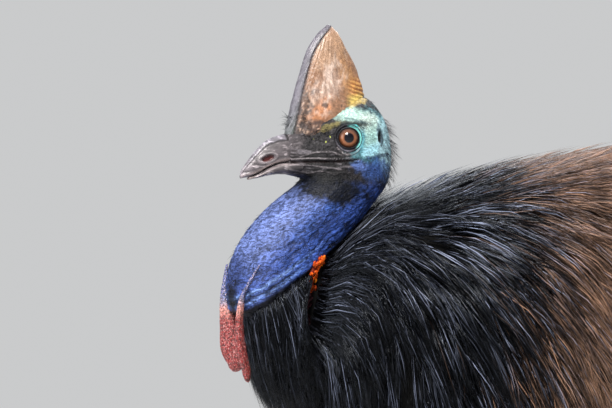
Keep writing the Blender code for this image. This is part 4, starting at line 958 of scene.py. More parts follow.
def eyeball(side):
    """An eyeball with its pole at the pupil: a sphere with a slight bulge over the iris, painted by the
    distance from that pole as pupil, iris with radial streaks, dark ring and dark white. The upper part of
    the iris is darkened by painted shade from the lid."""
    centre, look, rear, up = eye_axes(side)
    polar, theta = np.linspace(0.02, math.pi - 0.02, 70)[:, None], circle(72)
    bulge = 1 + 0.030 * ease((0.95 - polar) / 0.4)
    reach = EYE_RADIUS * np.sin(polar)
    grid = ovals(centre + EYE_RADIUS * look * (np.cos(polar) * bulge), up, rear, reach, reach, theta)
    reach = reach * np.ones(len(theta)) + (polar > 1.5)
    place = np.stack([np.cos(theta)[None] * 9 + 0 * reach, np.sin(theta)[None] * 9 + reach * 300], axis=-1)
    iris = user_colour("iris")
    tint = np.broadcast_to(iris, grid.shape) * (1 + 0.30 * lattice(place, 1.0, 3))[..., None]
    tint = blended(tint, iris * 0.42, ease((reach - IRIS_RADIUS * 0.78) / (IRIS_RADIUS * 0.22)))
    tint = painted(tint, ((196, 124, 78), peak(reach, 0.0076, 0.0016) * 0.30),
                   # Painted shade: the upper part of the iris is darkened as if the lid shades it.
                   ((66, 56, 54), ease((np.sin(theta)[None] * reach / IRIS_RADIUS + 0.15) / 0.8) * 0.6))
    tint = blended(tint, (0.004, 0.004, 0.006), ease((reach - IRIS_RADIUS) / 0.0004))
    return grid, blended(tint, (0.004, 0.004, 0.007), ease((PUPIL_RADIUS + 0.0003 - reach) / 0.0005))


# Horn


def casque_grid():
    """The helmet: at each height an oval from the front edge to the rear edge, sharper at both, with a keel
    strip set off by a groove down the front, fibres that fan from the tip, and wrinkles round its rear
    base."""
    heights = CASQUE[0, 0] + (CASQUE[-1, 0] - CASQUE[0, 0]) * np.linspace(0, 1, 165) ** 0.92
    front, rear, half_thick = smooth(heights, CASQUE[:, 0], CASQUE[:, 1:]).T[..., None]
    turns = circle(160)
    long = np.cos(turns)
    thick = rounded(np.sin(turns), 0.9) * (1 - 0.22 * np.maximum(-long, 0) ** 2)
    y = (front + rear) / 2 + long * (rear - front) / 2
    grid = np.stack([half_thick * thick, y, np.broadcast_to(heights[:, None], y.shape)], axis=-1)
    normals, below_tip = normals_of(grid), CASQUE[-1, 0] + 0.01 - grid[..., 2]
    angle, far = np.arctan2(y + 0.357, below_tip), np.hypot(y + 0.357, below_tip)
    which_side = np.sign(grid[..., 0]) * 3.0
    fibres = layered(np.stack([angle * 60, far * 22, which_side], axis=-1), 1.0, 7)
    fine = layered(np.stack([angle * 190, far * 60, which_side], axis=-1), 1.0, 17, 2)
    behind_front = y - front
    groove = peak(behind_front, KEEL_WIDE, 0.0009)
    low = ease((1.112 - grid[..., 2]) / 0.030) * ease((y + 0.365) / 0.030)
    rings = np.sin((grid[..., 2] + 0.25 * (y + 0.30) + 0.0016 * layered(grid, 0.012, 27)) * TAU / 0.0052)
    height = 0.0006 * fibres + 0.0003 * fine - KEEL_GROOVE * groove + 0.0007 * rings * low
    height += 0.0010 * layered(grid, 0.022, 33, 2)
    height += 0.0006 * ease((KEEL_WIDE - behind_front) / 0.002)
    grid = grid + normals * (height * ease((CASQUE[-1, 0] - heights) / 0.012)[:, None])[..., None]
    z, mottle = grid[..., 2], layered(grid, 0.012, 43)
    tint = patched(grid, np.broadcast_to(user_colour("casque"), grid.shape), HORN, 0.35 * fine, 47)
    away_from_sheen = 1 - 0.85 * spot(grid, -22, 58, 34, 13, 68, 1.2, 0.6)
    bent = grid + 0.005 * np.stack([layered(grid, 0.014, 71 + k, 2) for k in range(3)], axis=-1)
    sheen_swirl = 1 - np.abs(layered(bent, (0.010, 0.007, 0.018), 75, 2)) * 5
    orange = ease((1.118 - z + 0.006 * mottle) / 0.022) * ease((y + 0.345 + 0.006 * mottle) / 0.018)
    yellow = ease((1.094 - z + 0.003 * mottle) / 0.008) * ease((y + 0.345) / 0.012)
    dark = np.maximum(spot(grid, -58, 24, 36, 13, 56, 1.1, 0.6, 49),
                      spot(grid, -44, 6, 34, 9, 8, 0.9, 0.6, 51))
    flecks = layered(grid, (0.0026, 0.0020, 0.0036), 53, 2) * 1.5
    spots = ease(lattice(grid, (0.005, 0.005, 0.007), 57) * 3 - 1.5) * ease((1.10 - z) / 0.02)
    tint = painted(
        tint,
        ((96, 68, 52), ease(fibres * 1.6 - 0.1) * 0.28 * away_from_sheen),
        ((206, 184, 166), ease(fine * 2 - 0.8) * 0.35 * away_from_sheen),
        # Painted sheen: pale swirls over the smooth middle, partly the horn's own pale streaks.
        ((206, 186, 174), np.clip(sheen_swirl, 0, 1) * (1 - away_from_sheen) * 0.8),
        ((186, 124, 60), orange * 0.7),
        # Painted light and shade on the wrinkles: darker in their hollows, paler on their crests, as in the
        # relief.
        ((112, 66, 34), orange * ease(-rings * 1.2 - 0.1) * 0.75),
        ((232, 186, 112), orange * ease(rings * 1.4 - 0.6) * 0.7),
        ((216, 194, 108), yellow * 0.8),
        ((44, 34, 32), dark * ease(flecks * 2 + 0.3) * 0.8),
        ((190, 160, 140), dark * ease(-flecks * 2 - 0.7) * 0.7),
        ((52, 34, 30), spots * 0.8),
        ((224, 206, 192), ease((y - rear + 0.004) / 0.004) * ease((z - 1.115) / 0.02) * 0.4),
    )
    strip = painted(
        all_over(grid, (92, 88, 96)),
        ((52, 50, 56), ease((behind_front - 0.0026) / 0.003)),
        # Painted highlights: pale fine marks along the keel strip.
        ((150, 145, 154), ease(fine * 2.4 - 0.5) * 0.6),
        ((74, 84, 76), ease((1.085 - z) / 0.04) * 0.5),
    )
    keel = ease((KEEL_WIDE - behind_front) / 0.0012)[..., None]
    return grid, painted(tint * (1 - keel) + strip * keel, ((44, 30, 30), groove * 0.75))


def bill_grid(table, ridge, upper):
    """Half of the bill: at each place along it an oval narrowed towards its upper edge by the share ridge.
    On the upper half the plate along its top is set off by a groove and painted paler, partly its own tone
    and partly a painted highlight on the top of the bill, and a long nostril is sunk in each side."""
    order = table[::-1]
    ys = order[0, 0] + (order[-1, 0] - order[0, 0]) * np.linspace(0, 1, 122) ** 1.2
    top, low, half_wide = smooth(ys, order[:, 0], order[:, 1:]).T[..., None]
    turns = circle(110)
    lift = np.cos(turns)
    z = (top + low) / 2 + lift * (top - low) / 2
    wide = half_wide * (rounded(np.sin(turns), 0.75) * (1 - ridge * (lift + 1) / 2))
    grid = np.stack([wide, np.broadcast_to(ys[:, None], z.shape), z], axis=-1)
    normals, y = normals_of(grid), grid[..., 1]
    grain = layered(grid * (1, 0.35, 1), 0.0022, 13)
    height, tint = 0.00025 * grain, bill_tone(grid)
    toward_tip = ease((-0.452 - y) / 0.014)
    if upper:
        plate = 0.0066 * (1 - 0.45 * np.clip((y + 0.412) / -0.058, 0, 1)) + 0.0006 * lattice(grid, 0.004, 5)
        groove = peak(top - z, plate, 0.0007) * ease((-0.406 - y) / 0.006)
        # The plate's paler tone is partly its own and partly a painted highlight on the top of the bill.
        plate_tone_and_highlight = painted(all_over(grid, (98, 94, 101)), ((158, 152, 162), ease(grain * 2.5 - 0.2)))
        way = unit([0, 1, NOSTRIL["rise"]])
        away = grid - np.array([0, NOSTRIL["y"], NOSTRIL["z"]])
        ring = np.hypot((away @ way) / NOSTRIL["half_long"],
                        (away @ np.cross(ACROSS, way)) / NOSTRIL["half_high"])
        hole = ease((1.05 - ring) / 0.35)
        lip = peak(z - low, 0.0030, 0.0012)
        height += -0.0008 * groove - NOSTRIL["deep"] * hole + 0.0006 * peak(ring, 1.35, 0.2)
        height += 0.0004 * lip - 0.0005 * peak(z - low, 0.0062, 0.0011)
        tint = painted(
            blended(tint, plate_tone_and_highlight, ease((plate - top + z) / 0.0008)),
            ((30, 27, 29), groove * 0.9),
            ((150, 140, 144), peak(ring, 1.35, 0.16) * 0.4),
            ((58, 4, 3), hole),
            ((24, 21, 23), ease((y + 0.4165) / 0.003) * ease((z - 1.036) / 0.004)),
            ((170, 152, 150), lip * 0.6),
            ((120, 112, 118), toward_tip * 0.6),
        )
    else:
        lip = peak(top - z, 0.0020, 0.0011)
        height += 0.0004 * lip
        tint = painted(tint * 0.8, ((150, 138, 138), lip * 0.6), ((150, 120, 104), toward_tip * 0.4))
    height, tint = with_ridges(grid, height, tint, ease((y + 0.418) / 0.006))
    return grid + normals * height[..., None], tint


def wattle_grid(name):
    """A wattle: flat ovals square to its path, broad side turned partly forward, with folds and a swollen
    end."""
    side, table, turn = SIDES[name], WATTLES[name], WATTLE_TURNS[name]
    steps = np.linspace(0, 1, 124)
    x, y, z, half_wide, half_thick = smooth(steps, np.linspace(0, 1, len(table)), table).T
    end = (steps - 0.93) / 0.07
    round_end = np.sqrt(np.clip(1 - np.clip(end, 0, 1) ** 2, 0.02, 1))
    path = np.stack([x * side, y, z - 0.006 * ease(end)], axis=1)
    way = unit(np.gradient(path, axis=0))
    flat = np.array([math.sin(turn) * side, -math.cos(turn), 0])
    across = unit(flat - way * (way @ flat)[:, None])
    ragged = 1 + 0.05 * lattice(np.stack([steps * 9, 0 * steps], 1), 1.0, 9 + int(side))
    grid = ovals(path, np.cross(way, across)[:, None], across[:, None], (half_thick * round_end)[:, None],
                 (half_wide * round_end * ragged)[:, None], circle(72))
    normals, steps = normals_of(grid), steps[:, None]
    folds = layered(grid * (1, 1, 0.35), 0.0055, 19 + int(side), 3)
    bumps = layered(grid, 0.0022, 29, 2)
    rings = np.sin(steps * TAU * 46 + 3 * folds) * ease((0.62 - steps) / 0.2)
    height = (0.0007 * folds + 0.00035 * bumps + 0.00025 * rings) * ease(steps / 0.15)
    red = user_colour("wattle")
    tint = blended(np.broadcast_to(red, grid.shape), red * 0.6, ease(folds * 1.5) * 0.5)
    down = steps + 0.05 * folds
    tint = painted(tint, ((200, 136, 124), ease((0.62 - down) / 0.14) * 0.8),
                   ((150, 150, 164), ease((0.50 - down) / 0.10) * 0.9),
                   ((60, 78, 130), ease((0.50 - down) / 0.14) * 0.92))
    # Painted light and shade on the rings: paler on their crests and darker in their hollows, as in the
    # relief.
    return grid + normals * height[..., None], tint * (1 + 0.45 * rings)[..., None]


def bulb(centre, axis, radius, long, seed):
    """A wrinkled bulb: a sphere drawn out along its axis with value noise on its radius."""
    polar = np.linspace(0.12, math.pi - 0.12, 9)[:, None]
    axis = unit(axis)
    across = unit(np.cross(axis, UP + ACROSS * 0.1))
    shape = ovals(axis * (np.cos(polar) * long), np.cross(axis, across), across, np.sin(polar), np.sin(polar),
                  circle(12))
    rough = 1 + 0.45 * layered(shape + seed * 3.7, 0.7, seed)
    return centre + shape * (radius * rough)[..., None]


def on_skin(behind, above, sink=0.0):
    """The point of the bird's left skin that lies so many millimetres behind and above the eye, and the
    normal."""
    rungs, turns = np.linspace(0, len(LADDER) - 1, 441), np.linspace(0.02, math.pi - 0.02, 361)
    grid = ladder_points(rungs, turns)
    u, v = from_eye(grid)
    nearness = grid[..., 0] * math.sin(VIEW_AZIMUTH) - grid[..., 1] * math.cos(VIEW_AZIMUTH)
    score = np.hypot(u - behind, v - above) - 30 * nearness
    i, j = np.unravel_index(score.argmin(), score.shape)
    out = unit(np.cross(grid[min(i + 1, 440), j] - grid[i - 1, j], grid[i, min(j + 1, 360)] - grid[i, j - 1]))
    out = out * np.sign(out[0])
    return grid[i, j] - out * sink, out


def caruncle_bulbs():
    """Folds of orange skin down each side of the neck's base: a dark bed, partly painted shade between the
    bulbs, and on it many small wrinkled bulbs that run together, in a strip that narrows and darkens
    downwards. Some of the upper bulbs are painted yellow as highlights."""
    knots, steps = np.linspace(0, 1, len(FOLD_LINE)), np.linspace(0, 1, 26)
    rng = np.random.default_rng(12)
    bed, out = np.swapaxes([on_skin(*smooth(f, knots, FOLD_LINE), 0.0030) for f in steps], 0, 1)
    across = unit(np.cross(out, unit(np.gradient(bed, axis=0))))
    tube = ovals(bed, out[:, None], across[:, None], 0.0050 * np.ones((26, 1)), 0.0050, circle(20))
    tube = tube + out[:, None] * (0.0010 * layered(tube, 0.0035, 77, 2))[..., None]
    # The bed's dark colour is partly the skin's own and partly painted shade between the bulbs.
    dark = linear(44, 24, 28) * (1 + 0.8 * layered(tube, 0.003, 78, 2))[..., None]
    dark = painted(dark, ((120, 34, 12), ease((0.6 - steps) / 0.15)[:, None] * np.ones(20)))
    grids, tints = [tube * (side, 1, 1) for side in SIDES.values()], [dark, dark]
    for k in range(84):
        f = rng.uniform(0, 1) ** 1.25
        u, v = smooth(f, knots, FOLD_LINE)
        wide = 3.2 * math.sin(math.pi * min(f * 1.25 + 0.12, 1.0)) ** 0.7 + 0.6
        point, out = on_skin(u + rng.uniform(-1, 1) * wide, v + rng.uniform(-2, 2))
        size = rng.uniform(0.0010, 0.0022) * (1.15 - 0.35 * f)
        point = point + out * size * rng.uniform(0, 1.2)
        axis = (0.3, rng.uniform(-0.4, 0.6), rng.uniform(0.3, 1))
        shape = bulb(point, axis, size, rng.uniform(1.5, 3.4), k)
        glow = ease((0.68 - f + 0.10 * rng.uniform(-1, 1)) / 0.15)
        tone = linear(255, 98, 16) * rng.uniform(0.35, 1.25) * glow + linear(74, 34, 44) * (1 - glow)
        # Painted highlights: some of the bright upper bulbs are painted yellow.
        if glow > 0.7 and k % 3 == 0:
            tone = tone + (linear(252, 150, 34) - tone) * rng.uniform(0, 0.8)
        tone = np.broadcast_to(tone, shape.shape)
        for side in SIDES.values():
            grids.append(shape * (side, 1, 1))
            tints.append(tone * (0.75 + 0.5 * layered(shape, 0.0012, k, 2))[..., None])
    return grids, tints


# Body and lie of the plumage


def torso_sizes(y):
    """Centre height, half width and half height of the torso at y, before its ends are rounded."""
    return smooth(y, TORSO[:, 0], TORSO[:, 1:])


def egg_points(s, turns, grow=0.0):
    """Points of the torso: at a share s of its half length from the middle, a rounded oval shrunk towards
    the ends as a rounded oval shrinks."""
    y = TORSO_MIDDLE + (TORSO_HALF + grow) * s
    centre, wide, high = torso_sizes(y).T
    end = (1 - np.abs(s) ** TORSO_END_POWER) ** (1 / TORSO_END_POWER)
    sine, cosine = (rounded(v, 2 / TORSO_POWER) for v in (np.sin(turns), np.cos(turns)))
    return np.stack([sine * (wide + grow) * end, y, centre + cosine * (high + grow) * end], axis=-1)


def egg_gauge(p):
    """1 on the egg of the torso, less inside it and more outside."""
    centre, wide, high = torso_sizes(p[:, 1]).T
    section = np.abs(p[:, 0] / wide) ** TORSO_POWER + np.abs((p[:, 2] - centre) / high) ** TORSO_POWER
    along = np.abs(p[:, 1] - TORSO_MIDDLE) / TORSO_HALF
    return (section ** (TORSO_END_POWER / TORSO_POWER) + along ** TORSO_END_POWER) ** (1 / TORSO_END_POWER)


def neck_base_gauge(p):
    """1 on the oval column that stands for the feathered base of the neck, which leans back below its
    middle."""
    x, y, z = (p - np.array(NECK_BASE["middle"])).T
    y = y + np.minimum(z, 0) * NECK_BASE["lean"]
    return np.sqrt((x / NECK_BASE["wide"]) ** 2 + (y / NECK_BASE["deep"]) ** 2)


def neck_core():
    """The dark core of the neck's feathered base: ovals within its column, drawn out backwards to meet the
    torso, and cut by a plane a little under the line where bare skin ends."""
    heights, turns = np.linspace(0.74, 0.96, 40), circle(48)
    lean = -np.minimum(heights - NECK_BASE["middle"][2], 0) * NECK_BASE["lean"]
    path = np.stack([0 * heights, NECK_BASE["middle"][1] + lean, heights], axis=1)
    deep = np.where(np.cos(turns) > 0, 0.090, NECK_BASE["deep"] - 0.010)
    grid = ovals(path, ACROSS, BACK, NECK_BASE["wide"] - 0.012, deep, turns)
    over = np.maximum(over_ruff(grid) + 0.008, 0)
    return grid - RUFF_OUT * over[..., None]


def height_over(gauge, p, step=1e-4):
    """Nearly the distance of each point from the surface where the gauge is 1, and the way out."""
    steps = np.eye(3) * step
    slope = np.stack([(gauge(p + axis) - gauge(p - axis)) / (2 * step) for axis in steps], axis=1)
    size = np.maximum(np.linalg.norm(slope, axis=1), 1e-6)
    return (gauge(p) - 1) / size, slope / size[:, None]


def body_height(p):
    """Height of each point over the torso and the neck's base, run softly together, and the way out."""
    egg, egg_out = height_over(egg_gauge, p)
    base, base_out = height_over(neck_base_gauge, p)
    base = base + np.maximum(0, NECK_BASE["bottom"] - p[:, 2]) + np.maximum(0, over_ruff(p))
    pull = np.stack([np.exp(-np.clip(height, -0.1, 0.3) / BLEND) for height in (egg, base)])
    return -BLEND * np.log(pull.sum(0)), unit(egg_out * pull[0][:, None] + base_out * pull[1][:, None])


def parting_line(points):
    """On each point's own side of the bird: 1 or -1 for the side, the parting's lower end, the way out of it
    and the span to its upper end."""
    side = np.where(points[..., :1] < 0, -1.0, 1.0)
    mirror = side * ACROSS + (0, 1, 1)
    return side, *(np.array(way) * mirror for way in (
        PARTING["low"], PARTING["out"], np.subtract(PARTING["top"], PARTING["low"])))


def to_parting(points):
    """From the nearest point of the parting on its own side, the way and distance to each point, both
    measured square to the way out of the parting, so that it stays open through the whole depth of the
    coat."""
    _, low, out, span = parting_line(points)
    along = np.clip(((points - low) * span).sum(1) / (span**2).sum(1), 0, 1)[:, None]
    away = points - low - span * along
    away = away - out * (away * out).sum(1, keepdims=True)
    return away, np.linalg.norm(away, axis=1)


def parting_frame(points):
    """The way across the parting on each point's side of the bird, as seen from outside, each point's
    distance across it, and its share of the way up it."""
    side, low, out, span = parting_line(points)
    across = unit(np.cross(out, span)) * side
    return across, ((points - low) * across).sum(-1), ((points - low) * span).sum(-1) / (span**2).sum(-1)


def parting_side(points):
    """1 for points to one side of the parting and -1 for those to the other."""
    return np.where(parting_frame(points)[1] < 0, -1.0, 1.0)


def parted(points, sides):
    """Holds points on their own side of the parting: those whose distance across it falls short of the
    clearance, which is wider ahead of it than behind, are moved square to it. Beyond its ends the clearance
    is nothing."""
    across, off, along = parting_frame(points)
    keep = PARTING["clear"] * np.where(sides > 0, PARTING["ahead"], PARTING["behind"])
    keep = keep * ease((along + 0.25) / 0.3) * ease((1.15 - along) / 0.25)
    held = np.where((along > -0.25) & (along < 1.15), sides * np.maximum(sides * off, keep), off)
    return points + across * (held - off)[..., None]


def lie(points, out):
    """The way that the plumage lies: back along the spine, ever steeper down the flanks, steepest over the
    shoulder and down the breast, and fanned out a little from the parting at each side of the neck."""
    upward, downward = np.clip(out[:, 2], 0, 1), np.clip(-out[:, 2], 0, 1)
    breast = np.clip(-out[:, 1], 0, 1) * (1 - upward)
    steep = 3 + 40 * ease((1 - upward) / 0.38) + 14 * ease((0.45 - upward) / 0.5) + 12 * downward
    steep += 14 * ease((-0.22 - points[:, 1]) / 0.14) * ease((0.55 - upward) / 0.5)
    steep = np.radians(steep)
    steep += (math.radians(84) - steep) * breast
    aside = 0.16 * np.clip(points[:, 0] / 0.06, -1, 1) * upward
    way = np.stack([aside, np.cos(steep), -np.sin(steep)], axis=1)
    hang = np.stack([0 * steep, out[:, 2], -out[:, 1]], axis=1) * np.sign(out[:, 1:2])
    ends = ease((np.abs(out[:, 1]) - 0.35) / 0.4) * np.where(out[:, 1] < 0, 0.6, 1.0) * (1 - upward)
    way = blended(way, hang, ends)
    away, far = to_parting(points)
    fan = unit(away + np.array([0, 0.030, 0.004]))
    behind = ease((away[:, 1] + 0.010) / 0.03)
    share = (peak(far, 0, FAN_REACH) * behind)[:, None]
    way = way * (1 - share) + fan * share * 1.2
    return unit(way - out * (way * out).sum(1, keepdims=True))


def comb(roots, lengths, tip_heights, sway, rooted):
    """Paths over the body: each starts sunk at its root, follows the lie in equal steps, rises evenly to its
    tip height and keeps clear of the parting. Those on the under side hang free."""
    height, out = body_height(roots)
    point, face = roots - out * (height + rooted)[:, None], out
    paths, faces = [point], [face]
    sides = parting_side(roots)
    for k in range(1, GUIDE_STEPS + 1):
        under = np.clip(-out[:, 2], 0, 1)
        loose = ease((under - 0.35) / 0.4)
        free = np.stack([0 * under, 0.9 * (1 - ease((point[:, 1] - 0.10) / 0.22)), -1 + 0 * under], axis=1)
        straight = lie(point, out)
        way = blended(straight - UP * under[:, None] * 1.1, free, loose)
        way = way + np.cross(out, straight) * sway[:, None]
        point = point + unit(way) * (lengths / GUIDE_STEPS)[:, None]
        height, out = body_height(point)
        rise = tip_heights * ease(k / GUIDE_STEPS * 1.15) - rooted * max(0, 1 - k / 3) - height
        rise = np.where(out[:, 2] < -0.15, np.maximum(rise, 0), rise)
        point = parted(point + out * rise[:, None], sides)
        face = unit(face * 0.45 + out * 0.55)
        paths.append(point)
        faces.append(face)
    return np.stack(paths, axis=1), np.stack(faces, axis=1)


def read_paths(paths, at):
    """Each path read at shares of its length: linear between its points. at has a row of shares for each
    path."""
    steps = paths.shape[1] - 1
    place = np.clip(at, 0, 1) * steps
    i = np.minimum(place.astype(int), steps - 1)
    f = (place - i)[..., None]
    row = np.arange(len(paths))[:, None]
    return paths[row, i] * (1 - f) + paths[row, i + 1] * f


def strand_axes(middle, face):
    """At each point of each strand, the way across it and the way out of its face."""
    way = unit(np.gradient(middle, axis=1))
    across = unit(np.cross(way, face))
    return across, np.cross(across, way)


def strands(name, paths, faces, places, looks, seed):
    """A coat piece: round each guiding path, many thin strands that start and end at their own shares of it,
    keep their own distance to its side and over it, draw together towards its tip and sway a little. Each
    strand is a closed three-sided spine. looks gives their latest start, spread across and over, drawing
    together, sway, half width, colours and unwrap."""
    rng = np.random.default_rng(seed)
    paths, faces, places = (np.repeat(a, STRANDS_PER_GUIDE, axis=0) for a in (paths, faces, places))
    count = len(paths)
    start = rng.uniform(0, looks["late"], count) * (1 - 0.85 * peak(to_parting(places)[1], 0, 0.045))
    end = rng.uniform(0.72, 1.0, count)
    f = np.linspace(0, 1, STRAND_STEPS + 1) ** 1.5
    at = start[:, None] + (end - start)[:, None] * f
    middle, face = read_paths(paths, at), unit(read_paths(faces, at))
    across, out = strand_axes(middle, face)
    aside = rng.uniform(-1, 1, count)[:, None] * looks["aside"] * (1 - looks["gather"] * ease(at))
    waves, shift = rng.uniform(3, 8, count)[:, None], rng.uniform(0, TAU, count)[:, None]
    aside = aside + looks["sway"] * np.sin(at * waves + shift)
    over = rng.uniform(-0.35, 1, count)[:, None] * looks["over"] * (0.3 + 0.7 * at)
    middle = middle + across * aside[..., None] + out * over[..., None]
    middle = parted(middle, parting_side(places)[:, None])
    across, out = (way[:, :-1] for way in strand_axes(middle, face))
    half = looks["half_wide"] * rng.uniform(0.7, 1.3, count)[:, None]
    shape = (half * np.minimum(0.55 + 1.6 * f, 1.0) * np.clip(1.35 * (1 - f), 0.0, 1.0) ** 0.7)[:, :-1, None]
    body, wide, tall = middle[:, :-1], across * shape, out * shape * 0.75
    rings = np.stack([body - wide, body + wide, body + tall], axis=2)
    shade = looks["colour"](rng, places, count, f)
    tint = np.concatenate([np.repeat(shade[:, :-1], 3, axis=1), shade[:, -1:]], axis=1)
    local = np.stack([np.tile([-0.5, 0.5, 0.0], STRAND_STEPS), np.repeat(f[:-1] - 0.5, 3)], axis=1)
    uv = looks["unwrap"](places)[:, None] + np.vstack([local, [0.0, 0.5]]) * STRAND_PATCH
    return spine_piece(name, "plumage", rings, middle[:, -1], tint, uv, turned=True)


def plumage_colour(rng, places, count, f, painted_highlight_share=1.0):
    """Near-black strands, some of them cooler and greyer in their middles, which are painted highlights along
    those strands. Behind the shoulder they are bleached to brown, most towards their tips, and darken again
    towards the rump and belly."""
    tint = user_colour("plumage") * rng.uniform(0.1, 1.1, count)[:, None, None] * np.ones((count, len(f), 1))
    pale = rng.uniform(0, 1, count)
    # Painted highlights: some strands are painted a paler cool grey along their middles, where gloss would
    # shine.
    painted_highlight = (0.24 * (pale > 0.72) + 0.74 * (pale > 0.89))[:, None] * np.sin(math.pi * np.clip(f + 0.1, 0, 1))
    tint = painted(tint, ((132, 140, 164), painted_highlight * painted_highlight_share))
    worn = ease((places[:, 1] + 0.24 + 0.025 * rng.normal(size=count)) / 0.10) * rng.uniform(0.35, 1, count)
    worn = worn * (1 - 0.85 * ease((places[:, 1] + 0.05) / 0.32)) * ease((places[:, 2] - 0.52) / 0.16)
    brown = user_colour("bleached") * rng.uniform(0.6, 1.5, count)[:, None, None]
    return blended(tint, brown, worn[:, None] * (0.5 + 0.5 * f)[None])


def egg_unwrap(places):
    """Where each root lies on the torso laid flat: its turn about the long axis, and its share along it."""
    turn = np.arctan2(places[:, 0], places[:, 2] - 0.80)
    along = (places[:, 1] - TORSO_FRONT + 0.08) / (TORSO_REAR - TORSO_FRONT + 0.16)
    return np.stack([0.5 + turn / TAU * 0.98, np.clip(along, 0, 1) * 0.98 + 0.01], axis=1)


def egg_roots(count, rng):
    """Roots scattered over the torso so that each patch of like area gets as many."""
    s = np.linspace(-0.992, 0.992, 400)
    turns = np.linspace(-math.pi, math.pi, 400, endpoint=False)
    s_grid, turn_grid = np.meshgrid(s, turns, indexing="ij")
    grid = egg_points(s_grid.ravel(), turn_grid.ravel()).reshape(400, 400, 3)
    along, round_it = np.gradient(grid, axis=0), (np.roll(grid, -1, 1) - np.roll(grid, 1, 1)) / 2
    area = np.linalg.norm(np.cross(along, round_it), axis=-1).ravel()
    pick = rng.choice(len(area), count, replace=False, p=area / area.sum())
    return grid.reshape(-1, 3)[pick] + rng.normal(0, 0.0015, (count, 3))


def ruff_roots(count, rng):
    """Roots on the neck's base just below the line where bare skin ends, in a band some 45 mm deep."""
    rungs = np.linspace(7.0, len(LADDER) - 1, 300)
    grid = ladder_points(rungs, np.linspace(-math.pi, math.pi, 360, endpoint=False)).reshape(-1, 3)
    below = -over_ruff(grid)
    near = (below > 0.001) & (below < 0.045)
    allowed = grid[near]
    weight = np.exp(-below[near] / 0.018) * (to_parting(allowed)[1] > PARTING["clear"] * 0.9)
    return allowed[rng.choice(len(allowed), count, replace=False, p=weight / weight.sum())]


SHOULDER_FRONT, SHOULDER_REAR, RUMP_FRONT = -0.27, 0.0, 0.27


def shoulder(y, up):
    """Which roots lie on the shoulders and the front of the back."""
    return (SHOULDER_FRONT <= y) & (y < SHOULDER_REAR) & (up > -0.35)


# How many guiding paths, half width of a strand, share of the strands with painted highlights, and which
# roots of the torso, by their places and by how far up they face
REGIONS = {
    "breast": (580, 0.00066, 0.5, lambda x, y, z, up: (y < SHOULDER_FRONT) & (up < 0.6)),
    "shoulder_high": (660, 0.00074, 1.0, lambda x, y, z, up: shoulder(y, up) & (x > 0) & (z >= 0.86)),
    "shoulder_low": (660, 0.00074, 1.0, lambda x, y, z, up: shoulder(y, up) & (x > 0) & (z < 0.86)),
    "shoulder_right": (430, 0.00105, 1.0, lambda x, y, z, up: shoulder(y, up) & (x <= 0)),
    "back": (600, 0.00085, 1.0, lambda x, y, z, up: ((y < SHOULDER_FRONT) & (up >= 0.6)
                                                     | (y >= SHOULDER_REAR) & (up >= 0.62))),
    "flank": (450, 0.00115, 1.0, lambda x, y, z, up: ((SHOULDER_REAR <= y) & (y < RUMP_FRONT)
                                                      & (-0.35 < up) & (up < 0.62))),
    "rump": (380, 0.00115, 1.0, lambda x, y, z, up: (y >= RUMP_FRONT) & (-0.5 < up) & (up < 0.62)),
    "belly": (220, 0.00115, 0.5, lambda x, y, z, up: up <= -0.35),
}
COAT_LOOKS = dict(late=0.22, aside=0.0085, gather=0.45, over=0.010, sway=0.0018, colour=plumage_colour,
                  unwrap=egg_unwrap)


def with_painted_highlights(share):
    """The colours of the plumage with its strands of painted highlight made fewer or fainter by a share."""
    return lambda rng, places, count, f: plumage_colour(rng, places, count, f, share)


def torso_coat():
    """The coat of the torso, region by region. Roots behind the parting are drawn up to its edge, and a
    region takes more of its roots there."""
    rng = np.random.default_rng(7)
    pool = egg_roots(24000, rng)
    inside_neck = (neck_base_gauge(pool) < 1.0) & (pool[:, 2] > NECK_BASE["bottom"] + 0.02)
    bare = (over_ruff(pool) > -0.004) & (np.abs(pool[:, 0]) < 0.05) & (pool[:, 1] < -0.25)
    free = ~inside_neck & ~bare
    away, far = to_parting(pool)
    at_parting = peak(far, 0, 0.05)
    behind = (away[:, 1] > 0) & (far < 0.10)
    drawn = np.where(behind, np.minimum(0.040 * (1 - far / 0.10), 0.85 * far), 0)[:, None]
    pool = pool - unit(away) * drawn
    out = body_height(pool)[1]
    pieces = []
    for k, (name, (count, half_wide, painted_highlight, chosen)) in enumerate(REGIONS.items()):
        here = np.flatnonzero(chosen(*pool.T, out[:, 2]) & free)
        here = here[np.argsort(rng.exponential(size=len(here)) / (1 + 5 * at_parting[here]))[:count]]
        roots, number = pool[here], len(here)
        _, rearward, upward = np.clip(out[here], 0, 1).T
        _, forward, downward = np.clip(-out[here], 0, 1).T
        lengths = LOCK_LENGTH + RUMP_MORE * rearward - BELLY_LESS * downward - BREAST_LESS * forward
        lengths = lengths * rng.uniform(0.80, 1.15, number) * (0.74 + 0.26 * ease((roots[:, 1] + 0.10) / 0.2))
        tips = rng.uniform(*TIP_HEIGHTS, number) * (1 - 0.45 * forward) * (1 - 0.5 * upward)
        rooted = 0.010 - 0.008 * at_parting[here]
        paths, faces = comb(roots, lengths, tips, rng.normal(0, 0.11, number), rooted)
        looks = dict(COAT_LOOKS, half_wide=half_wide, colour=with_painted_highlights(painted_highlight))
        pieces.append(strands("coat_" + name, paths, faces, roots, looks, 100 + k))
    return pieces


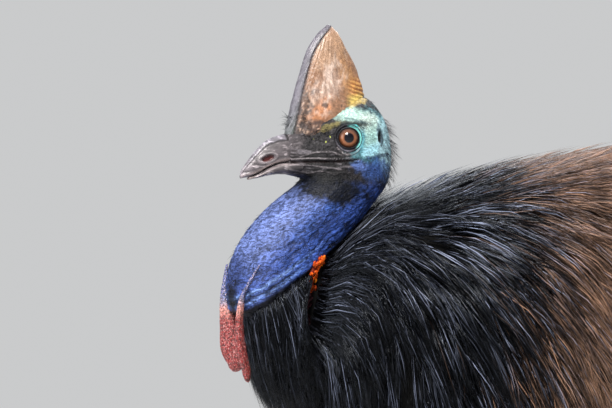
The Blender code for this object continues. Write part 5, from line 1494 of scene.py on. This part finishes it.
def ruff_coat():
    """The plumage that starts at the edge of the bare neck, thinner and shorter than on the body."""
    rng = np.random.default_rng(8)
    roots = ruff_roots(620, rng)
    number = len(roots)
    lengths, tips = rng.uniform(0.070, 0.160, number), rng.uniform(0.004, 0.018, number)
    paths, faces = comb(roots, lengths, tips, rng.normal(0, 0.12, number), np.full(number, 0.003))
    looks = dict(COAT_LOOKS, late=0.08, aside=0.0055, over=0.005, half_wide=0.00056, sway=0.0012,
                 colour=with_painted_highlights(0.35))
    return strands("coat_ruff", paths, faces, roots, looks, 120)


# Legs


def leg_points(side_name):
    """Knee, calf, ankle and foot of one leg."""
    side, step = SIDES[side_name], STANCE[side_name]
    return [np.array([side * x, y + step * share, z])
            for (x, y, z), share in zip((KNEE, CALF, ANKLE, FOOT), (0.2, 0.7, 1.0, 1.0))]


def thigh_points(side_name, along, turns, height):
    """Points round the drumstick: ovals square to the curve from the knee to the calf, at a height over
    it."""
    knee, calf = leg_points(side_name)[:2]
    curve = np.array([knee, (knee + calf) / 2 + BACK * 0.012, calf])
    before, at, after = (smooth(np.clip(along + step, 0, 1), [0, 0.5, 1], curve) for step in (-0.03, 0, 0.03))
    way = unit(after - before)
    point = at + way * (np.maximum(along - 1, 0) * np.linalg.norm(calf - knee))[:, None]
    size = smooth(np.clip(along, 0, 1), [0, 0.35, 0.7, 1], [0.066, 0.074, 0.054, 0.032])[:, None]
    across = unit(ACROSS - way * way[:, :1]) * SIDES[side_name]
    back = np.cross(way, across) * SIDES[side_name]
    c, s = np.cos(turns)[:, None], np.sin(turns)[:, None]
    out = unit(across * c / 0.86 + back * s / 1.1)
    return point + (across * c * 0.86 + back * s * 1.1) * size + out * np.asarray(height)[:, None], out


def thigh_unwrap(places):
    """Where each root lies on a drumstick laid flat: by its turn about the upright axis, and its height."""
    turn = np.arctan2(places[:, 0], places[:, 1])
    return np.stack([0.5 + 0.45 * np.sin(turn), np.clip(places[:, 2], 0, 1)], axis=1)


def thigh_coat(side_name, seed):
    """The plumage of a drumstick, which hangs down it and ends in a loose cuff over the shank."""
    rng = np.random.default_rng(seed)
    count = 170
    start = rng.uniform(0.05, 0.80, count)
    turns, reach = rng.uniform(0, TAU, count), rng.uniform(0.28, 0.44, count)
    drift, rise = rng.normal(0, 0.10, count), rng.uniform(0.006, 0.020, count)
    paths, faces = np.swapaxes([
        thigh_points(side_name, start + reach * f, turns + drift * f, -0.006 + (rise + 0.006) * f)
        for f in np.linspace(0, 1, GUIDE_STEPS + 1)], 0, 1)
    looks = dict(COAT_LOOKS, aside=0.0070, over=0.006, half_wide=0.00110, unwrap=thigh_unwrap)
    return strands(f"coat_thigh_{side_name}", *(np.swapaxes(line, 0, 1) for line in (paths, faces)), paths[0],
                   looks, seed + 40)


def limb(path, wide, deep, turns):
    """Ovals square to a path, as a grid, with half widths across and half depths."""
    up = unit(np.cross(unit(np.gradient(path, axis=0)), ACROSS))
    across = np.cross(up, unit(np.gradient(path, axis=0)))
    return ovals(path, across[:, None], up[:, None], wide[:, None], deep[:, None], turns)


def bone_grid(start, end, over, count, knots, wide, deep):
    """Ovals along a straight bone that begins a little over its upper joint, with its sizes at some
    knots."""
    f = np.linspace(0, 1, count)
    start = start - unit(end - start) * over
    path = start + (end - start) * f[:, None]
    return limb(path, smooth(f, knots, wide), smooth(f, knots, deep), circle(72)), f


def plates(f, count, lift):
    """Overlapping plates along a limb: a saw that rises slowly over each of them and drops at its edge."""
    phase = (f * count) % 1.0
    return lift * (phase ** 1.5) * ease((1.0 - phase) / 0.10)


def toe_line(side_name, which):
    """The way along a toe, the way across it, and the point on the floor from which its length is
    measured."""
    foot, side = leg_points(side_name)[3], SIDES[side_name]
    way, out = (np.array([math.sin(turn) * side, -math.cos(turn), 0]) for turn in TOES[which][:2])
    return way, np.array([-way[1], way[0], 0]), foot * (1, 1, 0) + out * FOOT_RADIUS * 0.62


def leg_skin(side_name):
    """One skin for the bare shank, the long foot bone with its plates, the pad and the three toes, fused by
    a remesh at LEG_VOXEL and smoothed."""
    _, calf, ankle, foot = leg_points(side_name)
    turns = circle(72)
    shank, _ = bone_grid(calf, ankle, 0.030, 90, [0, 0.4, 0.8, 1], [0.0200, 0.0190, 0.0240, 0.0225],
                         [0.0225, 0.0215, 0.0285, 0.0265])
    bone, f = bone_grid(ankle, foot, 0.008, 260, [0, 0.08, 0.28, 0.75, 1],
                        [0.0240, 0.0272, 0.0175, 0.0175, 0.0265], [0.0270, 0.0300, 0.0200, 0.0190, 0.0235])
    out = unit(bone - bone.mean(1, keepdims=True))
    front = ease((-out[..., 1] - 0.15) / 0.5)
    bone = bone + out * (plates(f, 26, 0.0020)[:, None] * front * ease((f - 0.12) / 0.05)[:, None])[..., None]
    bone = bone + out * (0.0012 * layered(bone, 0.010, 77) * ease((0.25 - f) / 0.2)[:, None])[..., None]
    height = 0.058 * np.linspace(0, 1, 24)
    reach = FOOT_RADIUS * np.sqrt(np.maximum(1 - ((height - 0.022) / 0.042) ** 2, 0.06))[:, None]
    grids = [shank, bone, ovals(foot * (1, 1, 0) + UP * height[:, None], ACROSS, BACK, reach, reach, turns)]
    f = np.linspace(-0.10, 1, 120)
    for which, (_, _, length, half_wide, high, _, _) in TOES.items():
        way, across, start = toe_line(side_name, which)
        shrink = 1 - 0.34 * np.clip(f, 0, 1)
        tall = high * shrink * (1 + 0.05 * np.sin(f * 4 * TAU - 1.2))
        wide = half_wide * shrink * (1 + 0.06 * np.sin(f * 3.5 * TAU))
        middle = start + way * length * f[:, None] + UP * (tall * 0.5)[:, None]
        toe = ovals(middle, across, UP, (wide * 1.02)[:, None], (tall * 0.62)[:, None], turns)
        toe[..., 2] += plates(f, 17, 0.0017)[:, None] * ease((np.cos(turns) - 0.1) / 0.4)[None]
        toe[..., 2] = np.maximum(toe[..., 2], 0)
        grids.append(toe)
    piece = tube_piece(f"leg_skin_{side_name}", grids, "scale")
    remesh = piece.modifiers.new("Fuse", "REMESH")
    remesh.mode, remesh.voxel_size = "VOXEL", LEG_VOXEL
    soften = piece.modifiers.new("Soften", "SMOOTH")
    soften.factor, soften.iterations = 0.5, 2
    apply_modifiers(piece)
    keep_on_floor(piece)
    names = ("shank", "tarsus", "toe_middle", "toe_inner", "toe_outer")
    return finished(piece, "leg_scale", *[f"{name}_{side_name}" for name in names])


def apply_modifiers(piece):
    """Puts the shape that the modifiers give into the piece's own mesh."""
    bpy.context.view_layer.update()
    graph = bpy.context.evaluated_depsgraph_get()
    mesh = bpy.data.meshes.new_from_object(piece.evaluated_get(graph))
    piece.modifiers.clear()
    piece.data = mesh
    mesh.polygons.foreach_set("use_smooth", np.ones(len(mesh.polygons), bool))


def keep_on_floor(piece):
    """Flattens what smoothing pushed below the floor."""
    places = np.empty(len(piece.data.vertices) * 3, np.float32)
    piece.data.vertices.foreach_get("co", places)
    places = places.reshape(-1, 3)
    places[:, 2] = np.maximum(places[:, 2], 0)
    piece.data.vertices.foreach_set("co", places.ravel())
    piece.data.update()


def claw_grid(side_name, which):
    """A claw: ovals that shrink along a path which leaves the toe's tip, rises a little and comes down to a
    point just clear of the floor, flatter below than above."""
    _, _, toe_length, half_wide, high, length, rise = TOES[which]
    way, across, start = toe_line(side_name, which)
    overlap = 0.008
    start, long, tall = start + way * (toe_length - overlap), length + overlap, high * 0.66
    f, turns = np.linspace(0, 0.985, 40)[:, None], circle(24)
    middle = start + way * long * f + UP * (tall * 0.5 * (1 - f) + 0.0025 * f + rise * np.sin(f * math.pi))
    ridge = (1 + 0.03 * np.sin(f * 70) * (f < 0.4)) * (1 - f) ** 0.72
    under = np.where(np.cos(turns) < 0, 0.8, 1.0)
    grid = ovals(middle, across, UP, half_wide * 0.60 * ridge, tall * 0.46 * ridge * under, turns)
    grid[..., 2] = np.maximum(grid[..., 2], 0.0004)
    wear = ease(layered(grid * (1, 0.3, 1), 0.003, 9) * 2 - 0.4) * 0.4
    tone = painted(all_over(grid, (78, 70, 62)), ((30, 27, 26), ease(f / 0.7) * np.ones(len(turns))),
                   ((132, 120, 104), wear))
    return grid, tone, start + way * long + UP * 0.0022


def quill_grids(side_name):
    """The wing's stub and its bare quills: thin round spines that curve back and down along the flank."""
    side, turns, steps = SIDES[side_name], circle(12), np.linspace(0, 1, 24)[:, None]
    line = (np.array([0.164, -0.165, 0.880]) + np.array([0.020, 0.10, -0.045]) * steps) * (side, 1, 1)
    size = smooth(steps[:, 0], [0, 0.5, 1], [0.009, 0.015, 0.008])
    grids = [limb(line, size * 0.8, size * 1.2, turns)]
    thin = 0.0030 * np.linspace(1, 0.22, 40)
    for i in range(5):
        root = line[14 + 2 * i] - UP * (0.006 * i - 0.012)
        length = 0.24 * (0.70 + 0.30 * math.sin((i + 1) * math.pi / 6))
        bend = math.radians(30 + 6 * i) + np.linspace(0, math.radians(30), 40)
        way = np.stack([0.30 * side * (1 - np.linspace(0, 1.2, 40)), np.cos(bend), -np.sin(bend)], axis=1)
        grids.append(limb(root + np.cumsum(unit(way) * length / 40, axis=0), thin, thin, turns))
    return grids


# Bristles

BRISTLE_HALF_WIDE = 0.00022


def bristle_piece(name, roots, ways, lengths, seed):
    """Fine bristles: three-sided spines that bend from their own way towards the ground."""
    rng = np.random.default_rng(seed)
    count, f = len(roots), np.linspace(0, 1, 5)
    bend = rng.uniform(0.05, 0.5, count)[:, None, None] * (f**2)[None, :, None] * -UP
    path = roots[:, None] + (ways[:, None] * f[None, :, None] + bend) * lengths[:, None, None]
    way = unit(np.gradient(path, axis=1))
    side = unit(np.cross(way, rng.normal(size=(count, 1, 3))))
    other = np.cross(way, side)
    size = BRISTLE_HALF_WIDE * rng.uniform(0.7, 1.2, (count, 1, 1)) * (1 - 0.75 * f[:-1, None])
    corners = [(side * math.cos(turn) + other * math.sin(turn))[:, :-1] * size for turn in circle(3)]
    rings = path[:, :-1, None] + np.stack(corners, axis=2)
    tint = np.broadcast_to(linear(18, 18, 20), (count, 13, 3)) * rng.uniform(0.5, 1.6, (count, 1, 1))
    u, v = from_eye(roots)
    uv = np.stack([0.5 + 0.45 * np.sign(roots[:, 0]) * (u + 90) / 260, 0.5 + v / 520], axis=1)
    uv = uv[:, None] + rng.uniform(-0.0015, 0.0015, (count, 13, 2))
    return spine_piece(name, "head_skin", rings, path[:, -1], tint, uv)


def scatter_on_skin(count, weight, rng):
    """Roots on the bare skin, as many as the weight at each point asks for, with the normals there and the
    way that runs from the bill along the ladder."""
    rungs, turns = np.linspace(0.05, 10.3, 420), np.linspace(-math.pi, math.pi, 420, endpoint=False)
    grid = ladder_points(rungs, turns)
    normals = normals_of(grid)
    along = unit(np.gradient(grid, axis=0))
    area = np.linalg.norm(np.cross(np.gradient(grid, axis=0), np.gradient(grid, axis=1)), axis=-1)
    chance = (area * weight(grid)).ravel()
    pick = rng.choice(chance.size, count, replace=False, p=chance / chance.sum())
    return grid.reshape(-1, 3)[pick], normals.reshape(-1, 3)[pick], along.reshape(-1, 3)[pick]


def bristle_weight(points):
    """How thick the bristles stand: on the rear of the head, the brow, the lores, the jaw and the throat,
    and thinly down the neck."""
    u, v = from_eye(points)
    over = over_ruff(points)
    weight = 0.34 * ease((u - 30) / 14) * ease((v + 60) / 20) * ease((34 - v) / 16)
    for much, oval in ((1.6, (2, 16, 24, 5, 4)), (0.9, (-38, 2, 20, 14, 10)), (1.5, (-10, -40, 42, 14, 0))):
        weight += much * spot(points, *oval, 0.8, 0.2)
    weight += 0.12 * ease((-46 - v) / 20) * ease((over - 0.002) / 0.01) + 0.10
    return weight * (np.hypot(u, v) > 18) * (over > 0.002)


def bristles():
    """All the bristles of the face and neck, and the stiffer tufts round the casque's front base."""
    rng = np.random.default_rng(31)
    roots, out, along = scatter_on_skin(3800, bristle_weight, rng)
    u, v = from_eye(roots)
    rear = ease((u - 32) / 14) * ease((v + 60) / 20)
    back = unit(along - out * (along * out).sum(1, keepdims=True))
    ways = unit(out * (0.22 + 0.75 * rear)[:, None] + back * 0.8 + rng.normal(0, 0.22, roots.shape))
    lengths = rng.uniform(0.004, 0.009, len(roots)) * (1 + 1.0 * rear)
    skin = bristle_piece("bristles_skin", roots - out * 0.0008, ways, lengths, 32)
    count = 150
    side = rng.choice([-1.0, 1.0], count)
    f = rng.uniform(0, 1, count) ** 1.4
    height = 1.0465 + 0.020 * rng.uniform(0, 1, count)
    roots = np.stack([side * (0.002 + 0.016 * f), -0.4095 + 0.022 * f, height], axis=1)
    ways = np.stack([side * 0.5, -0.9 + 0 * side, rng.uniform(-0.2, 0.9, count)], axis=1)
    ways = unit(ways + rng.normal(0, 0.3, (count, 3)))
    return [skin, bristle_piece("bristles_casque", roots, ways, rng.uniform(0.005, 0.013, count), 33)]


# Sizes and colours that a user would change


def colour_choice(name, description, default):
    """A colour property with its default given as it looks, from 0 to 255."""
    default = tuple(float(c) for c in linear(*default))
    return bpy.props.FloatVectorProperty(name=name, description=description, default=default, subtype="COLOR",
                                         size=3, min=0, max=1)


def light_choice(name, description, default, **limits):
    """A property for the power or strength of a light."""
    return bpy.props.FloatProperty(name=name, description=description, default=default, min=0, **limits)


class CassowaryColours(bpy.types.PropertyGroup):
    """The main colours of the bird."""

    neck: colour_choice("Neck", "Cobalt blue of the side of the neck", (50, 78, 142))
    # The front and nape blues are partly the neck's own colour and partly painted light: paler on the lit
    # front, darker on the shaded nape.
    neck_front: colour_choice("Neck front", "Paler blue of the front of the neck", (84, 98, 146))
    nape: colour_choice("Nape", "Dark blue of the back of the neck", (40, 60, 106))
    casque: colour_choice("Casque", "Brown of the horn helmet", (138, 103, 80))
    wattle: colour_choice("Wattles", "Red of the hanging folds", (132, 28, 28))
    iris: colour_choice("Iris", "Orange-brown of the eye", (100, 61, 42))
    plumage: colour_choice("Plumage", "Near-black of the feathers", (9, 9, 11))
    bleached: colour_choice("Bleached plumage", "Brown of worn feathers towards the rear", (168, 130, 106))


class CassowaryStudio(bpy.types.PropertyGroup):
    """The strength of the studio's lights."""

    key_power: light_choice("Key light", "Power of the main light, in watts", 170.0, unit="POWER")
    fill_power: light_choice("Fill light", "Power of the soft light, in watts", 70.0, unit="POWER")
    ambient: light_choice("Ambient light", "Strength of the even light from all round", 0.22, max=10)
    horizon: light_choice("Backdrop", "Brightness of the pale backdrop all round", 0.62, max=10)


# One operator for each piece or group of like pieces


class BuildStep(bpy.types.Operator):
    """A step of the build, which raises an error if it makes nothing."""

    bl_options = {"REGISTER", "UNDO"}

    def execute(self, context):
        made = self.build(context)
        if not made:
            raise RuntimeError(f"{self.bl_label} made nothing")
        return {"FINISHED"}


class CASSOWARY_OT_skin(BuildStep):
    """Builds the bare skin of the head and neck with its eyelids"""

    bl_idname = "cassowary.skin"
    bl_label = "Bare skin"

    def build(self, context):
        grid, tint, neck = skin_grid()
        skin = tube_piece("skin_head_neck", [grid], "skin", [tint])
        horny = 0.9 * horny_share(grid) * (1 - neck)
        for name, share, ends in (("neck", neck, [0, 1]), ("horny", horny, [1, 0])):
            mark = skin.data.attributes.new(name, "FLOAT", "POINT")
            mark.data.foreach_set("value", np.append(share.ravel(), ends).astype(np.float32))
        finished(skin, "head_skin", "head", "neck_upper", "neck_lower", "ear_left", "ear_right")
        lids = [eyelids(side, grid) for side in SIDES.values()]
        made = tube_piece("eyelids", [lid[0] for lid in lids], "skin", [lid[1] for lid in lids], hoop=True)
        return [skin, finished(made, "head_skin")]


class CASSOWARY_OT_eyes(BuildStep):
    """Builds the two eyeballs"""

    bl_idname = "cassowary.eyes"
    bl_label = "Eyes"

    def build(self, context):
        made = []
        for name, side in SIDES.items():
            grid, tint = eyeball(side)
            piece = tube_piece(f"eyeball_{name}", [grid], "eye", [tint])
            made.append(finished(piece, "eye", f"eye_{name}"))
        return made


class CASSOWARY_OT_horn(BuildStep):
    """Builds the casque and both halves of the bill"""

    bl_idname = "cassowary.horn"
    bl_label = "Casque and bill"

    def build(self, context):
        made = []
        for name, node, slot, kind, (grid, tint) in (
            ("helmet", "casque", "casque_horn", "casque", casque_grid()),
            ("upper_bill", "bill_upper", "bill_horn", "bill", bill_grid(UPPER_BILL, 0.5, True)),
            ("lower_bill", "bill_lower", "bill_horn", "bill", bill_grid(LOWER_BILL, -0.25, False)),
        ):
            made.append(finished(tube_piece(name, [grid], kind, [tint]), slot, node))
        return made


class CASSOWARY_OT_wattles(BuildStep):
    """Builds the wattles and the orange folds at the sides of the neck"""

    bl_idname = "cassowary.wattles"
    bl_label = "Wattles and folds"

    def build(self, context):
        made = []
        for name in SIDES:
            grid, tint = wattle_grid(name)
            piece = tube_piece(f"flap_{name}", [grid], "wattle", [tint])
            made.append(finished(piece, "wattle", f"wattle_{name}"))
        grids, tints = caruncle_bulbs()
        made.append(finished(tube_piece("neck_folds", grids, "skin", tints), "wattle"))
        return made


class CASSOWARY_OT_body(BuildStep):
    """Builds the dark skin under the plumage"""

    bl_idname = "cassowary.body"
    bl_label = "Skin under the plumage"

    def build(self, context):
        shares = np.sin(np.linspace(-1, 1, 52)[1:-1] * math.pi / 2)
        grid = np.stack([egg_points(np.full(72, share), circle(72), -0.012) for share in shares])
        torso = tube_piece("skin_torso", [grid, neck_core()], "under")
        made = [finished(torso, "plumage", "torso")]
        for name in SIDES:
            grid = np.stack([thigh_points(name, np.full(48, share), circle(48), np.full(48, -0.004))[0]
                             for share in np.linspace(0, 1.0, 40)])
            piece = tube_piece(f"skin_thigh_{name}", [grid], "under")
            made.append(finished(piece, "plumage", f"thigh_{name}"))
        return made


class CASSOWARY_OT_coat(BuildStep):
    """Builds the plumage in joined pieces, region by region"""

    bl_idname = "cassowary.coat"
    bl_label = "Plumage"

    def build(self, context):
        made = torso_coat() + [ruff_coat()]
        return made + [thigh_coat(name, 60 + k) for k, name in enumerate(SIDES)]


class CASSOWARY_OT_wings(BuildStep):
    """Builds the stubs of the wings with their bare quills"""

    bl_idname = "cassowary.wings"
    bl_label = "Wing quills"

    def build(self, context):
        made = []
        for name in SIDES:
            grids = quill_grids(name)
            tints = [all_over(grid, (34, 32, 34)) for grid in grids]
            piece = tube_piece(f"quills_{name}", grids, "quill", tints)
            made.append(finished(piece, "plumage", f"wing_{name}"))
        return made


class CASSOWARY_OT_legs(BuildStep):
    """Builds the scaly skin of the legs and feet, and the claws"""

    bl_idname = "cassowary.legs"
    bl_label = "Legs and claws"

    def build(self, context):
        made = []
        for name in SIDES:
            made.append(leg_skin(name))
            for which in TOES:
                grid, tint, tip = claw_grid(name, which)
                piece = tube_piece(f"nail_{which}_{name}", [grid], "claw", [tint], tip)
                made.append(finished(piece, "claw_horn", f"claw_{which}_{name}"))
        return made


class CASSOWARY_OT_bristles(BuildStep):
    """Builds the fine bristles of the face and neck"""

    bl_idname = "cassowary.bristles"
    bl_label = "Bristles"

    def build(self, context):
        return bristles()


class CASSOWARY_OT_stage(BuildStep):
    """Sets up the floor, the lights and the camera"""

    bl_idname = "cassowary.stage"
    bl_label = "Studio"

    def build(self, context):
        scene, studio = context.scene, context.scene.cassowary_studio
        aim = placed(VIEW_TARGET)
        look = np.array([math.sin(VIEW_AZIMUTH), -math.cos(VIEW_AZIMUTH), 0])
        reach = np.array([0.5, 1.5, 3.0, FLOOR_RADIUS])[:, None]
        rings = ovals(np.zeros((4, 3)), BACK, ACROSS, reach, reach, circle(64)).reshape(-1, 3)
        faces = [grid_faces(4, 64)[:, ::-1], fan_faces(4, 64)[:64, ::-1]]
        floor = mesh_piece("studio_floor", np.vstack([rings, [0, 0, 0]]), faces, "floor")
        world = bpy.data.worlds.new("studio_air")
        world.use_nodes = True
        tree = world.node_tree
        sky = tree.nodes["Background"]
        rise = add(tree, "SeparateXYZ", {0: add(tree, "TexCoord").outputs["Generated"]}).outputs["Z"]
        colour, strength = (spread(tree, rise, *SKY_BAND, low, high)
                            for low, high in ((0.0, 1.0), (studio.horizon, studio.ambient)))
        tree.links.new(mixed(tree, colour, SKY_LOW, SKY_HIGH), sky.inputs["Color"])
        tree.links.new(strength, sky.inputs["Strength"])
        scene.world = world
        lights = (  # name, place relative to the aim: right, up and toward the viewer, size, power, colour
            ("key", (-0.3, 2.2, 2.0), 0.9, studio.key_power, (1.0, 0.97, 0.93)),
            ("fill", (-2.6, 0.9, 1.4), 2.0, studio.fill_power, (0.92, 0.95, 1.0)),
            ("rim", (1.0, 2.4, -1.6), 1.4, studio.key_power * 0.55, (0.92, 0.96, 1.0)),
        )
        right = np.array([math.cos(VIEW_AZIMUTH), math.sin(VIEW_AZIMUTH), 0])
        for name, (x, y, z), size, power, colour in lights:
            lamp = bpy.data.lights.new(name, "AREA")
            lamp.size, lamp.energy, lamp.color = size, power, colour
            holder = bpy.data.objects.new(name, lamp)
            holder.location = aim + right * x + UP * y + look * z
            holder.rotation_euler = Vector(holder.location - Vector(aim)).to_track_quat("Z", "Y").to_euler()
            scene.collection.objects.link(holder)
        camera = bpy.data.cameras.new("camera")
        camera.sensor_width, camera.lens = SENSOR, SENSOR * VIEW_DISTANCE / VIEW_WIDTH
        camera.clip_end = 50
        eye = bpy.data.objects.new("camera", camera)
        eye.location = aim + look * VIEW_DISTANCE
        eye.rotation_euler = Vector(look).to_track_quat("Z", "Y").to_euler()
        scene.collection.objects.link(eye)
        scene.camera = eye
        scene.view_settings.view_transform = "Standard"
        return [floor]


STEPS = (CASSOWARY_OT_skin, CASSOWARY_OT_eyes, CASSOWARY_OT_horn, CASSOWARY_OT_wattles, CASSOWARY_OT_body,
         CASSOWARY_OT_coat, CASSOWARY_OT_wings, CASSOWARY_OT_legs, CASSOWARY_OT_bristles, CASSOWARY_OT_stage)


class CASSOWARY_PT_panel(bpy.types.Panel):
    """Lists the colours, the lights and the steps of the build"""

    bl_idname = "CASSOWARY_PT_panel"
    bl_label = "Cassowary"
    bl_space_type = "VIEW_3D"
    bl_region_type = "UI"
    bl_category = "Cassowary"

    def draw(self, context):
        for group in (context.scene.cassowary_colours, context.scene.cassowary_studio):
            for name in group.bl_rna.properties.keys():
                if name not in {"rna_type", "name"}:
                    self.layout.prop(group, name)
        for step in STEPS:
            self.layout.operator(step.bl_idname)


CLASSES = (CassowaryColours, CassowaryStudio, *STEPS, CASSOWARY_PT_panel)


def register():
    for item in CLASSES:
        bpy.utils.register_class(item)
    bpy.types.Scene.cassowary_colours = bpy.props.PointerProperty(type=CassowaryColours)
    bpy.types.Scene.cassowary_studio = bpy.props.PointerProperty(type=CassowaryStudio)


def unregister():
    del bpy.types.Scene.cassowary_studio
    del bpy.types.Scene.cassowary_colours
    for item in reversed(CLASSES):
        bpy.utils.unregister_class(item)


def main():
    """Builds every piece in order."""
    register()
    for step in STEPS:
        group, name = step.bl_idname.split(".")
        getattr(getattr(bpy.ops, group), name)()
    bpy.context.view_layer.update()


if __name__ == "__main__":
    main()
